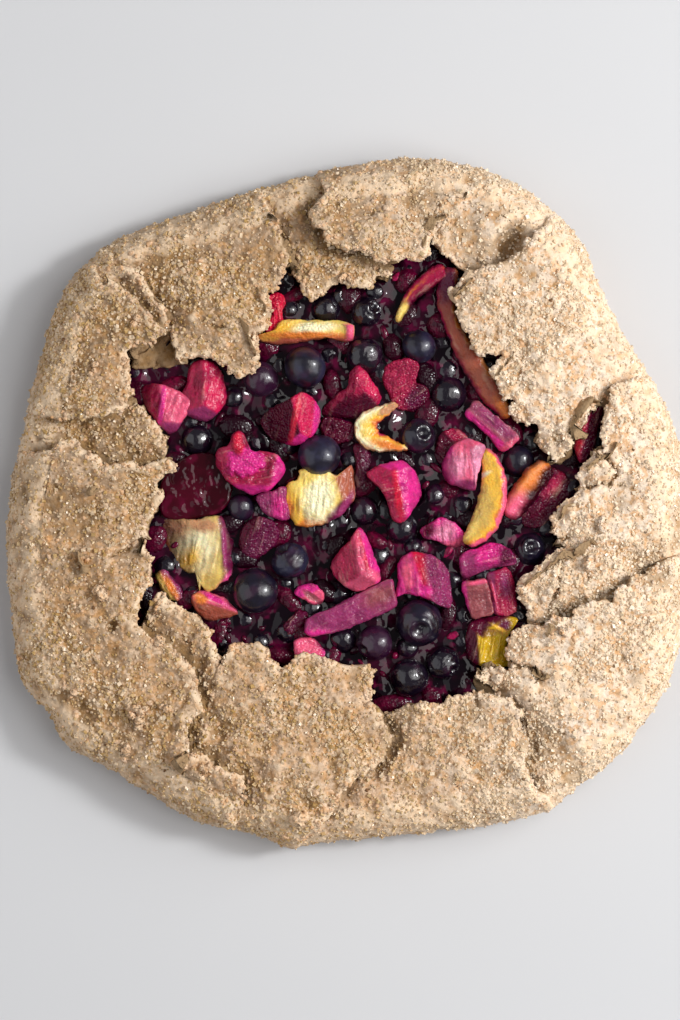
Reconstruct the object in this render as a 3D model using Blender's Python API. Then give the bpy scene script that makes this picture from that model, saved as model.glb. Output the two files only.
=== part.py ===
"""Fruit galette: a folded pastry case, its jam bed, and the fruit that lies in it.

Metres, +Z up. The origin is the middle of the underside, so the galette stands on z = 0.
The tables give plan places and sizes in millimetres, and bearings in degrees clockwise
from +Y. MM turns a table's value into metres.
"""
import math
from dataclasses import dataclass

import bmesh
import bpy
import numpy as np
from mathutils import Euler, Vector

MM = 0.001

# ---- driving dimensions -------------------------------------------------------------

DOUGH = 3.8 * MM            # rolled thickness of the pastry
FLOOR_TOP = 4.0 * MM        # upper face of the pastry under the fruit
CREST_TOP = 26.0 * MM       # height of the folded border, lowest flaps
EDGE_TOP = 24.0 * MM        # height of a torn edge, lowest flaps
LAYER_RISE = 1.3 * MM       # how much a flap rises for each flap it lies over
BULGE_HEIGHT = 9.0 * MM     # where the outer wall is widest
FOOT_INSET = 5.0 * MM       # the wall's foot stands this far inside its widest line
WALL = 10.0 * MM            # doubled pastry at the side
JAM_LEVEL = 16.5 * MM       # mean height of the jam between the fruit
GAP = 0.35 * MM             # clearance between touching solids
CROWN_DEPTH = 0.35          # a berry's crown dimple, as a share of its radius
BERRY_SQUASH = 0.94         # a berry's height over its width
SLIVER = 0.005 * MM         # edges shorter than this, left by a cut, are merged
STATION_STEP = 10.0 * MM    # longest step between two cross-sections, along the rim
PLEAT_WIDTH = 1.0           # degrees of bearing that a pleat's step takes
BED_BEARINGS = 30
BED_PROFILE = (             # the jam bed's side: inset from the rim, height
    (21 * MM, FLOOR_TOP + GAP),
    (17 * MM, JAM_LEVEL - 2.5 * MM),
    (30 * MM, JAM_LEVEL),
)

# The case's widest line, clockwise from the far side.
RIM = (
    (6, 116), (40, 116), (69, 102), (87, 72), (107, 42), (117, 0), (116, -44),
    (101, -80), (70, -106), (26, -114), (-15, -118), (-57, -106), (-90, -83),
    (-110, -55), (-115, -18), (-113, 19), (-101, 62), (-84, 84), (-45, 102),
)


@dataclass(frozen=True)
class Flap:
    """One fold of the pastry: its stretch of rim, its height and its torn edge."""

    name: str
    start: float            # bearing where the flap leaves its left neighbour
    end: float              # bearing where its right neighbour takes over
    layer: float            # how many flaps it lies over
    edge: tuple             # corners of the torn edge, clockwise


FLAPS = (
    Flap("tongue", -14.7, -3, 0, ((-17, 82), (-16, 76), (-11, 68), (-4, 71), (10, 73), (13, 77))),
    Flap("crown", -3, 18, 1.6, ((16, 78), (23, 81), (30, 84))),
    Flap("shoulder", 18, 36, 0.4, ((32, 88), (35, 83), (40, 80))),
    Flap("north_east", 36, 68, 1.8, (
        (39, 75), (36, 69), (41, 57), (46, 49), (54, 50), (50, 44), (54, 34), (58, 28),
        (65, 25), (68, 17), (77, 14), (80, 28), (88, 37))),
    Flap("east", 68, 98, 0.6, (
        (90, 34), (86, 21), (91, 12), (84, 8), (79, 3), (71, -3), (70, -12))),
    Flap("south_east", 98, 149, 1.2, (
        (69, -20), (59, -27), (62, -39), (55, -47), (57, -55), (47, -57), (42, -63))),
    Flap("south", 149, 188, 0.3, ((39, -66), (28, -69), (14, -72))),
    Flap("south_west", 188, 202, 1.2, (
        (10, -66), (10, -56), (-9, -51), (-20, -55), (-28, -48), (-42, -54), (-46, -43),
        (-55, -36))),
    Flap("west_lower", 202, 257, 2.0, ((-60, -31), (-64, -24), (-67, -15))),
    Flap("west", 257, 279, 1.2, ((-66, -8), (-61, 3), (-56, 12), (-61, 16))),
    Flap("pocket", 279, 288, 0, ((-61, 21), (-69, 31))),
    Flap("west_upper", 288, 313, 2.0, ((-72, 36), (-73, 47), (-67, 46))),
    Flap("north_west", 313, 345.3, 1.4, (
        (-63, 45), (-44, 48), (-33, 41), (-28, 50), (-24, 63), (-25, 71), (-20, 79))),
)


@dataclass(frozen=True)
class Berry:
    """A blueberry, with the side its crown shows on."""

    name: str
    x: float
    y: float
    z: float                # height of the middle
    radius: float
    crown: float = 0.0      # bearing that the crown faces
    lean: float = 180.0     # degrees that the crown leans from straight up


@dataclass(frozen=True)
class Stalk:
    """A cut length of rhubarb: a D-shaped, channelled section."""

    name: str
    x: float
    y: float
    z: float
    length: float
    width: float
    depth: float
    heading: float = 90.0   # bearing of the stalk's length
    pitch: float = 0.0      # degrees that its far end is lifted
    roll: float = 0.0


@dataclass(frozen=True)
class Slice:
    """A peach slice: a wedge that bends along its length."""

    name: str
    x: float
    y: float
    z: float
    length: float
    width: float
    depth: float
    bend: float = 60.0      # degrees that it turns from tip to tip
    heading: float = 90.0
    pitch: float = 0.0
    roll: float = 0.0


BERRIES = (
    Berry("blueberry_01", -13, 46, 17.5, 7.8, 40, 100),
    Berry("blueberry_02", -8, 16, 18.5, 7.6, 200, 120),
    Berry("blueberry_03", -30, -30, 17.5, 8.2, 150, 110),
    Berry("blueberry_04", -18, -20, 16.5, 6.8, 330, 60),
    Berry("blueberry_05", -28, 42, 13.2, 6.8),
    Berry("blueberry_06", 8, 65, 14.5, 5.8, 60, 50),
    Berry("blueberry_07", 7.5, 50, 15.5, 6.8),
    Berry("blueberry_08", 26, 53, 16, 6.0, 20, 60),
    Berry("blueberry_09", 36, 37, 14.5, 6.8),
    Berry("blueberry_10", 25.5, 22.5, 17, 6.3, 60, 25),
    Berry("blueberry_11", 26, -41, 17, 8.5, 190, 35),
    Berry("blueberry_12", 11, -48, 16, 6.5, 250, 70),
    Berry("blueberry_13", 22.5, -60, 15, 7.2),
    Berry("blueberry_14", 34, -55, 14.5, 6.2, 120, 60),
    Berry("blueberry_15", 64, -16, 13.5, 6.0, 90, 20),
    Berry("blueberry_16", 60, 14, 14, 6.0),
    Berry("blueberry_17", -50, 21, 13.5, 6.0),
    Berry("blueberry_18", -35, -2, 14.5, 5.0),
    Berry("blueberry_19", 20, -9, 14, 6.0),
    Berry("blueberry_20", -6, 66, 13.0, 5.5),
    Berry("blueberry_21", 0, -47, 13.5, 5.0),
    Berry("blueberry_22", 7.5, -3, 14, 5.5),
)

STALKS = (
    Stalk("rhubarb_01", -60, 35, 17, 14, 14, 6, 70, 5, -10),
    Stalk("rhubarb_02", -47, 38, 17.5, 15, 17, 6, 30, 0, 10),
    Stalk("rhubarb_03", -32, 13, 18.5, 8, 22, 15, 25, 72, 0),
    Stalk("rhubarb_04", -15, 28.5, 17.5, 13, 15, 9, 135, 25, 20),
    Stalk("rhubarb_05", 4, 39, 15.5, 16, 13, 7, 10, 25, 10),
    Stalk("rhubarb_06", 17, 3, 18.5, 9, 21, 13, 60, 70, 0),
    Stalk("rhubarb_07", 4, -20, 17.5, 19, 15, 10, 340, 20, -10),
    Stalk("rhubarb_08", 1.5, -37, 18.5, 31, 9.5, 5, 67, 0, 10),
    Stalk("rhubarb_09", -12, -33, 15.5, 10, 7, 5, 120, 0, 20),
    Stalk("rhubarb_10", 28, -27, 16, 18, 17, 8, 20, 10, 10),
    Stalk("rhubarb_11", 34, -11, 15.5, 13, 9, 6, 100, 0, 0),
    Stalk("rhubarb_12", 48, -20, 15.5, 17, 9, 6, 75, 0, 0),
    Stalk("rhubarb_13", 45.5, -33, 16.5, 11, 10, 5, 0, 0, 5),
    Stalk("rhubarb_14", 54.5, -31, 15, 15, 9, 5, 0, 0, -8),
    Stalk("rhubarb_15", 50, 26, 17, 17, 8, 6, 135, 0, 0),
    Stalk("rhubarb_16", 41, 12, 17, 15, 13, 8, 20, 10, 0),
    Stalk("rhubarb_17", -24.5, -1, 15, 10, 9, 6, 30, 10, 0),
    Stalk("rhubarb_18", -22, 65, 14.5, 15, 8, 6, 10, 0, 0),
    Stalk("rhubarb_19", 21, 40, 14, 16, 15, 7, 60, 0, 0),
    Stalk("rhubarb_20", 82, 23, 13.5, 19, 8, 7, 25, 0, 0),
)

SLICES = (
    Slice("peach_01", -8.5, 3, 17, 23, 20, 7, 40, 20, 0, 10),
    Slice("peach_02", -51, -17, 16, 28, 22, 7, 50, 140, 0, 0),
    Slice("peach_03", -44.5, -36, 14.5, 16, 8, 7, 60, 100, 0, 30),
    Slice("peach_04", -12, 57, 17.5, 31, 7, 6, 20, 88, 0, 0),
    Slice("peach_05", 13, 26, 16.5, 20, 13, 6, 30, 120, 0, 0),
    Slice("peach_06", 48, 1, 18, 32, 13, 8, 55, 0, 0, 0),
    Slice("peach_07", 61, 5, 17, 25, 9, 8, 10, 35, 0, 0),
    Slice("peach_08", 45, 52, 15.5, 57, 11, 8, 35, 155, 0, 15),
    Slice("peach_09", 27, 72, 14.5, 28, 8, 6, 50, 40, 0, 0),
    Slice("peach_10", 51, -47, 15.5, 18, 15, 7, 40, 170, 0, 0),
    Slice("peach_11", -52, 5, 13.5, 24, 20, 8, 50, 60, 0, 0),
    Slice("peach_12", 72, 1, 13, 19, 10, 7, 40, 20, 0, 0),
)

FINISHES = {                # base colour (linear), roughness
    "crust": ((0.50, 0.34, 0.19), 0.85),
    "jam": ((0.045, 0.004, 0.014), 0.12),
    "blueberry": ((0.022, 0.020, 0.050), 0.45),
    "rhubarb": ((0.55, 0.03, 0.13), 0.30),
    "peach": ((0.75, 0.42, 0.07), 0.30),
}


# ---- plan curves --------------------------------------------------------------------

def smooth_loop(corners, steps=12):
    """A closed Catmull-Rom curve through the corners, as an array of points."""
    points = np.array(corners, dtype=float)
    before = np.roll(points, 1, axis=0)
    after = np.roll(points, -1, axis=0)
    beyond = np.roll(points, -2, axis=0)
    curve = []
    for t in np.arange(steps) / steps:
        curve.append(0.5 * (2 * points + (after - before) * t
                            + (2 * before - 5 * points + 4 * after - beyond) * t ** 2
                            + (3 * points - before - 3 * after + beyond) * t ** 3))
    return np.stack(curve, axis=1).reshape(-1, 2)


class Rim:
    """The case's widest line, read by bearing."""

    def __init__(self, corners):
        line = smooth_loop(corners) * MM
        self.middle = (line.max(axis=0) + line.min(axis=0)) / 2
        line = line - self.middle
        bearings = np.degrees(np.arctan2(line[:, 0], line[:, 1])) % 360
        order = np.argsort(bearings)
        self.bearings = bearings[order]
        self.radii = np.hypot(line[:, 0], line[:, 1])[order]

    def radius(self, bearing):
        """Distance from the middle to the rim."""
        return np.interp(bearing % 360, self.bearings, self.radii, period=360)

    def point(self, bearing, inset=0.0):
        """A plan point on the rim, or that far inside it."""
        reach = self.radius(bearing) - inset
        angle = math.radians(bearing)
        return Vector((reach * math.sin(angle), reach * math.cos(angle)))

    def place(self, x, y):
        """A table's plan place, as a point about the galette's middle."""
        return Vector((x * MM - self.middle[0], y * MM - self.middle[1]))


# ---- pastry case --------------------------------------------------------------------

def stations(rim):
    """Cross-sections round the case, clockwise: rim point, torn-edge point and rise."""
    for flap in FLAPS:
        corners = [rim.place(*corner) for corner in flap.edge]
        spans = [(b - a).length for a, b in zip(corners, corners[1:])]
        first = flap.start + PLEAT_WIDTH / 2
        sweep = flap.end - flap.start - PLEAT_WIDTH
        gone = 0.0
        for corner, after, span in zip(corners, corners[1:], spans):
            share = span / sum(spans)
            arc = math.radians(sweep * share) * rim.radius(first + sweep * gone)
            cuts = max(1, math.ceil(arc / STATION_STEP))
            for k in range(cuts):
                bearing = first + sweep * (gone + share * k / cuts)
                yield rim.point(bearing), corner.lerp(after, k / cuts), flap.layer * LAYER_RISE
            gone += share
        yield rim.point(first + sweep), corners[-1], flap.layer * LAYER_RISE


def case_section(outer, edge, rise, gap):
    """One cross-section of the case, from its foot over the fold and back to the floor.

    With a gap, the faces that look at the fruit stand that much closer to it.
    """
    width = (edge - outer).length
    inward = (edge - outer) / width
    wall_top = min(WALL, 0.45 * width)
    profile = (
        (min(FOOT_INSET, 0.3 * width), 0.0),
        (0.0, BULGE_HEIGHT),
        (min(3.5 * MM, 0.2 * width), 0.68 * CREST_TOP),
        (min(11 * MM, 0.35 * width), 0.93 * CREST_TOP + 0.5 * rise),
        (0.60 * width, CREST_TOP + rise),
        (0.87 * width, CREST_TOP - 0.5 * MM + rise),
        (width + gap, EDGE_TOP + rise + gap),
        (width - 0.5 * MM + gap, EDGE_TOP + rise - DOUGH - gap),
        (0.60 * width, EDGE_TOP - DOUGH - gap),
        (wall_top + gap, EDGE_TOP - 1.6 * DOUGH - gap),
        (0.9 * wall_top + gap, 2 * FLOOR_TOP),
        (wall_top + 4 * MM + gap, FLOOR_TOP + gap),
    )
    return [(*(outer + inward * along), height) for along, height in profile]


def build_case(rim, gap=0.0):
    """The whole pastry as one closed body: sections joined round, floor and foot closed."""
    mesh = bmesh.new()
    rows = []
    for outer, edge, rise in stations(rim):
        rows.append([mesh.verts.new(point) for point in case_section(outer, edge, rise, gap)])
    for row, after in zip(rows, rows[1:] + rows[:1]):
        for k in range(len(row) - 1):
            mesh.faces.new((row[k], after[k], after[k + 1], row[k + 1]))
    foot = mesh.verts.new((0.0, 0.0, 0.0))
    floor = mesh.verts.new((0.0, 0.0, FLOOR_TOP + gap))
    for row, after in zip(rows, rows[1:] + rows[:1]):
        mesh.faces.new((foot, after[0], row[0]))
        mesh.faces.new((floor, row[-1], after[-1]))
    bmesh.ops.recalc_face_normals(mesh, faces=mesh.faces)
    bmesh.ops.triangulate(mesh, faces=mesh.faces, quad_method="FIXED")
    return mesh


# ---- jam bed ------------------------------------------------------------------------

def build_bed(rim):
    """The jam as one closed disc, level in the opening and lower under the flaps."""
    mesh = bmesh.new()
    rows = []
    for inset, height in BED_PROFILE:
        bearings = [360 * k / BED_BEARINGS for k in range(BED_BEARINGS)]
        row = [(*rim.point(bearing, inset), height) for bearing in bearings]
        rows.append([mesh.verts.new(point) for point in row])
    for row, after in zip(rows, rows[1:]):
        for k in range(BED_BEARINGS):
            mesh.faces.new((row[k - 1], row[k], after[k], after[k - 1]))
    mesh.faces.new(rows[0])
    mesh.faces.new(rows[-1])
    bmesh.ops.recalc_face_normals(mesh, faces=mesh.faces)
    return mesh


# ---- fruit --------------------------------------------------------------------------

def berry_mesh(berry):
    """A low-cut ball whose +Z pole is sunk in as the crown's dimple."""
    mesh = bmesh.new()
    radius = berry.radius * MM
    bmesh.ops.create_uvsphere(mesh, u_segments=8, v_segments=5, radius=radius)
    for vert in mesh.verts:
        if vert.co.z > 0.99 * radius:
            vert.co.z = (1 - CROWN_DEPTH) * radius
        vert.co.z *= BERRY_SQUASH
    return mesh


def loft(rings):
    """A closed body through rings of equal count, with flat ends."""
    mesh = bmesh.new()
    rows = [[mesh.verts.new(point) for point in ring] for ring in rings]
    for row, after in zip(rows, rows[1:]):
        for k in range(len(row)):
            mesh.faces.new((row[k - 1], row[k], after[k], after[k - 1]))
    mesh.faces.new(rows[0])
    mesh.faces.new(rows[-1])
    bmesh.ops.recalc_face_normals(mesh, faces=mesh.faces)
    bmesh.ops.triangulate(mesh, faces=mesh.faces)
    return mesh


def stalk_mesh(stalk):
    """Rhubarb: a rounded back over a shallow channel, bowed a little along +Y."""
    half = stalk.width * MM / 2
    depth = stalk.depth * MM
    section = []
    for k in range(6):
        angle = math.pi * k / 5
        section.append((half * math.cos(angle), depth * (math.sin(angle) - 0.4)))
    section.append((0.0, -0.28 * depth))
    rings = []
    for t in (-1.0, 0.0, 1.0):
        swell = 1.0 - 0.08 * abs(t)
        rings.append([(x * swell, t * stalk.length * MM / 2, z * swell) for x, z in section])
    return loft(rings)


def slice_mesh(piece):
    """Peach: skin side and two flesh faces, narrowing to both tips and bent round +X."""
    half = piece.width * MM / 2
    depth = piece.depth * MM
    bend = math.radians(piece.bend)
    turn_radius = piece.length * MM / (2 * math.sin(bend / 2))
    rings = []
    for t in (-0.95, -0.65, 0.0, 0.65, 0.95):
        fullness = math.sqrt(1 - t ** 4)
        turn = bend / 2 * t
        ring = []
        for x, z in ((half, 0.1), (0.5 * half, 0.5), (-0.5 * half, 0.5), (-half, 0.1), (0, -0.5)):
            reach = turn_radius + x * fullness
            ring.append((reach * math.cos(turn) - turn_radius * math.cos(bend / 4),
                         reach * math.sin(turn), z * depth * (0.4 + 0.6 * fullness)))
        rings.append(ring)
    return loft(rings)


def heading_turn(item):
    """Rotation that points a piece's +Y along its heading, with pitch and roll."""
    turn = Euler((0.0, math.radians(item.roll), 0.0)).to_matrix()
    turn = Euler((math.radians(item.pitch), 0.0, 0.0)).to_matrix() @ turn
    return (Euler((0.0, 0.0, -math.radians(item.heading))).to_matrix() @ turn).to_euler()


def crown_turn(berry):
    """Rotation that leans a berry's crown over towards its bearing."""
    lean = Euler((-math.radians(berry.lean), 0.0, 0.0)).to_matrix()
    return (Euler((0.0, 0.0, -math.radians(berry.crown))).to_matrix() @ lean).to_euler()


# ---- objects, clearances and finishes -----------------------------------------------

def finish(kind):
    """The Principled material of a kind of sub-part, made once."""
    material = bpy.data.materials.get(kind)
    if material is None:
        colour, roughness = FINISHES[kind]
        material = bpy.data.materials.new(kind)
        material.use_nodes = True
        shader = material.node_tree.nodes["Principled BSDF"]
        shader.inputs["Base Color"].default_value = (*colour, 1.0)
        shader.inputs["Roughness"].default_value = roughness
        shader.inputs["Metallic"].default_value = 0.0
        material.diffuse_color = (*colour, 1.0)
    return material


def add_object(name, mesh, kind):
    """Links a bmesh to the scene as a named object with its finish."""
    data = bpy.data.meshes.new(name)
    mesh.to_mesh(data)
    mesh.free()
    data.materials.append(finish(kind))
    body = bpy.data.objects.new(name, data)
    bpy.context.scene.collection.objects.link(body)
    return body


def swollen_copy(body, gap):
    """A cutter: the body's shape with every face pushed out by the gap."""
    mesh = bmesh.new()
    mesh.from_mesh(body.data)
    mesh.normal_update()
    moves = [vert.normal * gap * vert.calc_shell_factor() for vert in mesh.verts]
    for vert, move in zip(mesh.verts, moves):
        vert.co += move
    data = bpy.data.meshes.new(body.name + "_clearance")
    mesh.to_mesh(data)
    mesh.free()
    cutter = bpy.data.objects.new(data.name, data)
    cutter.location = body.location
    cutter.rotation_euler = body.rotation_euler
    cutter.hide_render = True
    cutter.display_type = "WIRE"
    bpy.context.scene.collection.objects.link(cutter)
    return cutter


def keep_largest(mesh):
    """Deletes the small scraps that a cut leaves beside the main body."""
    bmesh.ops.remove_doubles(mesh, verts=mesh.verts, dist=SLIVER)
    bmesh.ops.dissolve_degenerate(mesh, edges=mesh.edges, dist=SLIVER)
    left = set(mesh.verts)
    bodies = []
    while left:
        body = {left.pop()}
        front = list(body)
        while front:
            for edge in front.pop().link_edges:
                for vert in edge.verts:
                    if vert not in body:
                        body.add(vert)
                        front.append(vert)
        left -= body
        bodies.append(body)
    largest = max(bodies, key=len)
    scraps = [vert for body in bodies if body is not largest for vert in body]
    bmesh.ops.delete(mesh, geom=scraps, context="VERTS")


def carve(body, cutters):
    """Cuts the cutters out of a body and keeps its main piece."""
    for cutter in cutters:
        cut = body.modifiers.new(cutter.name, "BOOLEAN")
        cut.operation = "DIFFERENCE"
        cut.solver = "EXACT"
        cut.object = cutter
    if not cutters:
        return
    graph = bpy.context.evaluated_depsgraph_get()
    mesh = bmesh.new()
    mesh.from_mesh(body.evaluated_get(graph).to_mesh())
    body.modifiers.clear()
    keep_largest(mesh)
    mesh.to_mesh(body.data)
    mesh.free()


def boxes_meet(first, second):
    """Whether two objects' world boxes overlap."""
    spans = []
    for body in (first, second):
        corners = [body.matrix_world @ Vector(corner) for corner in body.bound_box]
        spans.append([(min(c[k] for c in corners), max(c[k] for c in corners)) for k in range(3)])
    return all(a[0] < b[1] and b[0] < a[1] for a, b in zip(*spans))


def place_fruit(rim):
    """Makes every fruit whole and puts it in its place, lowest first."""
    makers = ((BERRIES, berry_mesh, crown_turn, "blueberry"),
              (STALKS, stalk_mesh, heading_turn, "rhubarb"),
              (SLICES, slice_mesh, heading_turn, "peach"))
    fruit = []
    for table, make, turn, kind in makers:
        for item in table:
            body = add_object(item.name, make(item), kind)
            body.location = rim.place(item.x, item.y).to_3d() + Vector((0, 0, item.z * MM))
            body.rotation_euler = turn(item)
            fruit.append(body)
    return sorted(fruit, key=lambda body: body.location.z)


def main():
    """Clears the scene and builds the galette."""
    for leftover in list(bpy.data.objects):
        bpy.data.objects.remove(leftover, do_unlink=True)
    rim = Rim(RIM)
    add_object("crust", build_case(rim), "crust")
    case_clearance = add_object("case_clearance", build_case(rim, GAP), "crust")
    case_clearance.hide_render = True
    case_clearance.display_type = "WIRE"
    fruit = place_fruit(rim)
    bpy.context.view_layer.update()
    clearances = [swollen_copy(body, GAP) for body in fruit]
    bpy.context.view_layer.update()
    bed = add_object("filling", build_bed(rim), "jam")
    for rank, body in enumerate(fruit):
        above = [cutter for cutter in clearances[rank + 1:] if boxes_meet(body, cutter)]
        carve(body, above + [case_clearance])
    carve(bed, clearances)
    for cutter in clearances + [case_clearance]:
        bpy.data.objects.remove(cutter, do_unlink=True)


if __name__ == "__main__":
    main()
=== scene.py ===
"""Looks of a fruit galette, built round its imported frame.

Metres, +Z up. Tables give plan places and sizes in millimetres about the middle of the
galette, and bearings in degrees clockwise from +Y.
"""
from __future__ import annotations

import logging
import math
from dataclasses import dataclass, field
from enum import Enum
from typing import Any, Sequence

import bmesh
import bpy
import numpy as np
from mathutils import Matrix, Vector

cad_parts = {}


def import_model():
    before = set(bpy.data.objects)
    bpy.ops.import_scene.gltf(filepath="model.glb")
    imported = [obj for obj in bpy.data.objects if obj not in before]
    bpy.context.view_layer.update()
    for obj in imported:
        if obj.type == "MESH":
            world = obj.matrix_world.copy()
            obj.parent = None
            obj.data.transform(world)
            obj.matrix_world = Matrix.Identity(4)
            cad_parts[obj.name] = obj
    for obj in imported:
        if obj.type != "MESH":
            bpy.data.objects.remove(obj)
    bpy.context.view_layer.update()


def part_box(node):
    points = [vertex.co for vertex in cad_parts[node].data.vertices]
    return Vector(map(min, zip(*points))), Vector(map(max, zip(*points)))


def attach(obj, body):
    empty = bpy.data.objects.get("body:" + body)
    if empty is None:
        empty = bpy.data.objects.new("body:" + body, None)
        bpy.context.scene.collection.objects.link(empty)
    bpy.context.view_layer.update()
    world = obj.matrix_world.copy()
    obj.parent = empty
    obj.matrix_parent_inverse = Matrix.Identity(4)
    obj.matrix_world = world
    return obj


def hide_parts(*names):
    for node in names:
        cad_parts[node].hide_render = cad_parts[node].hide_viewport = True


MM = 0.001
BODY = "root"
LOG = logging.getLogger("galette")
Points = np.ndarray
Colour = tuple[float, float, float]


class Slot(Enum):
    """The record's material slots."""

    CRUST = "crust"
    JAM = "jam"
    BERRY = "blueberry"
    RHUBARB = "rhubarb"
    PEACH = "peach"


# ---- numbers: noise and curves ------------------------------------------------------


class Noise:
    """Seeded gradient noise over arrays of points, from about -1 to 1."""

    def __init__(self, seed: int) -> None:
        """Shuffles the lattice.

        Args:
            seed: Which noise this is.
        """
        rng = np.random.default_rng(seed)
        self.order = rng.permutation(256)
        arrows = rng.normal(size=(256, 3))
        self.arrows = arrows / np.linalg.norm(arrows, axis=1, keepdims=True)

    def at(self, points: Points, size: float) -> Points:
        """One octave of noise.

        Args:
            points: Array of shape (..., 3), in metres.
            size: Width of the noise's lumps, in metres.

        Returns:
            An array of shape (...).
        """
        spread = points / size
        cell = np.floor(spread).astype(int)
        inside = spread - cell
        ease = inside ** 3 * (inside * (inside * 6 - 15) + 10)
        total = np.zeros(points.shape[:-1])
        for corner in np.ndindex(2, 2, 2):
            lattice = (cell + corner) & 255
            key = self.order[lattice[..., 0]]
            key = self.order[(key + lattice[..., 1]) & 255]
            key = self.order[(key + lattice[..., 2]) & 255]
            slope = ((inside - corner) * self.arrows[key]).sum(axis=-1)
            weight = np.where(corner, ease, 1 - ease).prod(axis=-1)
            total += weight * slope
        return 1.7 * total

    def rough(self, points: Points, size: float, octaves: int = 3, gain: float = 0.5) -> Points:
        """Several octaves, each half as wide as the last.

        Args:
            points: Array of shape (..., 3), in metres.
            size: Width of the widest lumps.
            octaves: How many octaves are added.
            gain: Each octave's strength over the last one's.

        Returns:
            An array of shape (...).
        """
        total = np.zeros(points.shape[:-1])
        for octave in range(octaves):
            shifted = points + 0.37 * octave
            total += gain ** octave * self.at(shifted, size / 2 ** octave)
        return total


def ease(low: float, high: float, values: Points) -> Points:
    """Smooth step from 0 at low to 1 at high."""
    share = np.clip((values - low) / (high - low), 0.0, 1.0)
    return share * share * (3 - 2 * share)


def through(corners: Points, closed: bool, steps: int) -> Points:
    """A Catmull-Rom curve through corners.

    Args:
        corners: Array of shape (n, 2).
        closed: Whether the curve returns to its first corner.
        steps: Points for each stretch between two corners.

    Returns:
        Array of shape (m, 2).
    """
    if closed:
        padded = np.vstack([corners[-1:], corners, corners[:2]])
    else:
        padded = np.vstack([2 * corners[0] - corners[1], corners, 2 * corners[-1] - corners[-2]])
    before, here, after, beyond = padded[:-3], padded[1:-2], padded[2:-1], padded[3:]
    stretches = []
    for t in np.arange(steps) / steps:
        stretches.append(0.5 * (2 * here + (after - before) * t
                                + (2 * before - 5 * here + 4 * after - beyond) * t ** 2
                                + (3 * here - before - 3 * after + beyond) * t ** 3))
    curve = np.stack(stretches, axis=1).reshape(-1, 2)
    return curve if closed else np.vstack([curve, corners[-1:]])


def runs(line: Points) -> Points:
    """How far each of a line's points lies along it."""
    return np.concatenate([[0.0], np.cumsum(np.linalg.norm(np.diff(line, axis=0), axis=1))])


def at_runs(wanted: Points, gone: Points, line: Points) -> Points:
    """A line's values at the wanted distances, where gone has its own points' distances."""
    return np.stack([np.interp(wanted, gone, line[:, k]) for k in (0, 1)], axis=-1)


def turned(offset: Points, bearing: float) -> tuple[Points, Points]:
    """How far plan offsets go along a bearing in degrees, and to the right of it."""
    turn = math.radians(bearing)
    return offset @ (math.sin(turn), math.cos(turn)), offset @ (math.cos(turn), -math.sin(turn))


def thinned(chosen: list[Points], spots: Points, spacing: float) -> Points:
    """The chosen places, with each spot that lies farther than spacing from all of them."""
    for spot in spots:
        if np.linalg.norm(np.array(chosen)[:, :2] - spot[:2], axis=1).min() > spacing:
            chosen.append(spot)
    return np.array(chosen)


def inside(plan: Points, loop: Points) -> Points:
    """Whether plan points lie inside a closed loop of corners."""
    odd = np.zeros(len(plan), dtype=bool)
    for (x0, y0), (x1, y1) in zip(loop[:-1], loop[1:]):
        if y0 != y1:
            crosses = (plan[:, 1] > y0) != (plan[:, 1] > y1)
            odd ^= crosses & (plan[:, 0] < x0 + (plan[:, 1] - y0) * (x1 - x0) / (y1 - y0))
    return odd


@dataclass(frozen=True)
class Line:
    """A plan line, in millimetres, that can be measured from."""

    corners: tuple[tuple[float, float], ...]

    def measure(self, plan: Points) -> tuple[Points, Points]:
        """Finds how far points lie from the line.

        Args:
            plan: Array of shape (n, 2), in millimetres.

        Returns:
            The distance, positive on the left of the line's travel, and the share of the
            line's length at the nearest place.
        """
        curve = np.array(self.corners, dtype=float)
        spans = np.diff(curve, axis=0)
        lengths = np.linalg.norm(spans, axis=1)
        gone = np.concatenate([[0.0], np.cumsum(lengths)])
        bends = spans[:-1, 0] * spans[1:, 1] - spans[:-1, 1] * spans[1:, 0]
        bends = np.concatenate([[0.0], bends, [0.0]])
        best = np.full(len(plan), np.inf)
        side = np.ones(len(plan))
        share = np.zeros(len(plan))
        for at, (start, span, length, run) in enumerate(zip(curve, spans, lengths, gone)):
            offset = plan - start
            along = np.clip(offset @ span / length ** 2, 0.0, 1.0)
            distance = np.linalg.norm(offset - along[:, None] * span, axis=1)
            nearer = distance < best
            cross = span[0] * offset[:, 1] - span[1] * offset[:, 0]
            # at a corner the outer side of the bend decides, not either span
            cross = np.where((along <= 0.0) & (bends[at] != 0.0), -bends[at], cross)
            cross = np.where((along >= 1.0) & (bends[at + 1] != 0.0), -bends[at + 1], cross)
            best = np.where(nearer, distance, best)
            side = np.where(nearer, np.where(cross >= 0, 1.0, -1.0), side)
            share = np.where(nearer, (run + along * length) / gone[-1], share)
        return best * side, share


# ---- meshes -------------------------------------------------------------------------


def vert_array(mesh: bmesh.types.BMesh) -> Points:
    """The bmesh's vertex places as an array."""
    return np.array([vert.co[:] for vert in mesh.verts])


def move_verts(mesh: bmesh.types.BMesh, places: Points) -> None:
    """Puts each vertex at its row of places."""
    for vert, place in zip(mesh.verts, places):
        vert.co = place


def paint_verts(mesh: bmesh.types.BMesh, name: str, values: Points) -> None:
    """Stores one number per vertex under an attribute's name."""
    layer = mesh.verts.layers.float.new(name)
    for vert, value in zip(mesh.verts, values):
        vert[layer] = float(value)


def mark_data(data: bpy.types.Mesh, name: str, values: Points) -> None:
    """Stores one number per vertex of finished mesh data under an attribute's name."""
    data.attributes.new(name, "FLOAT", "POINT").data.foreach_set("value", values)


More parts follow.
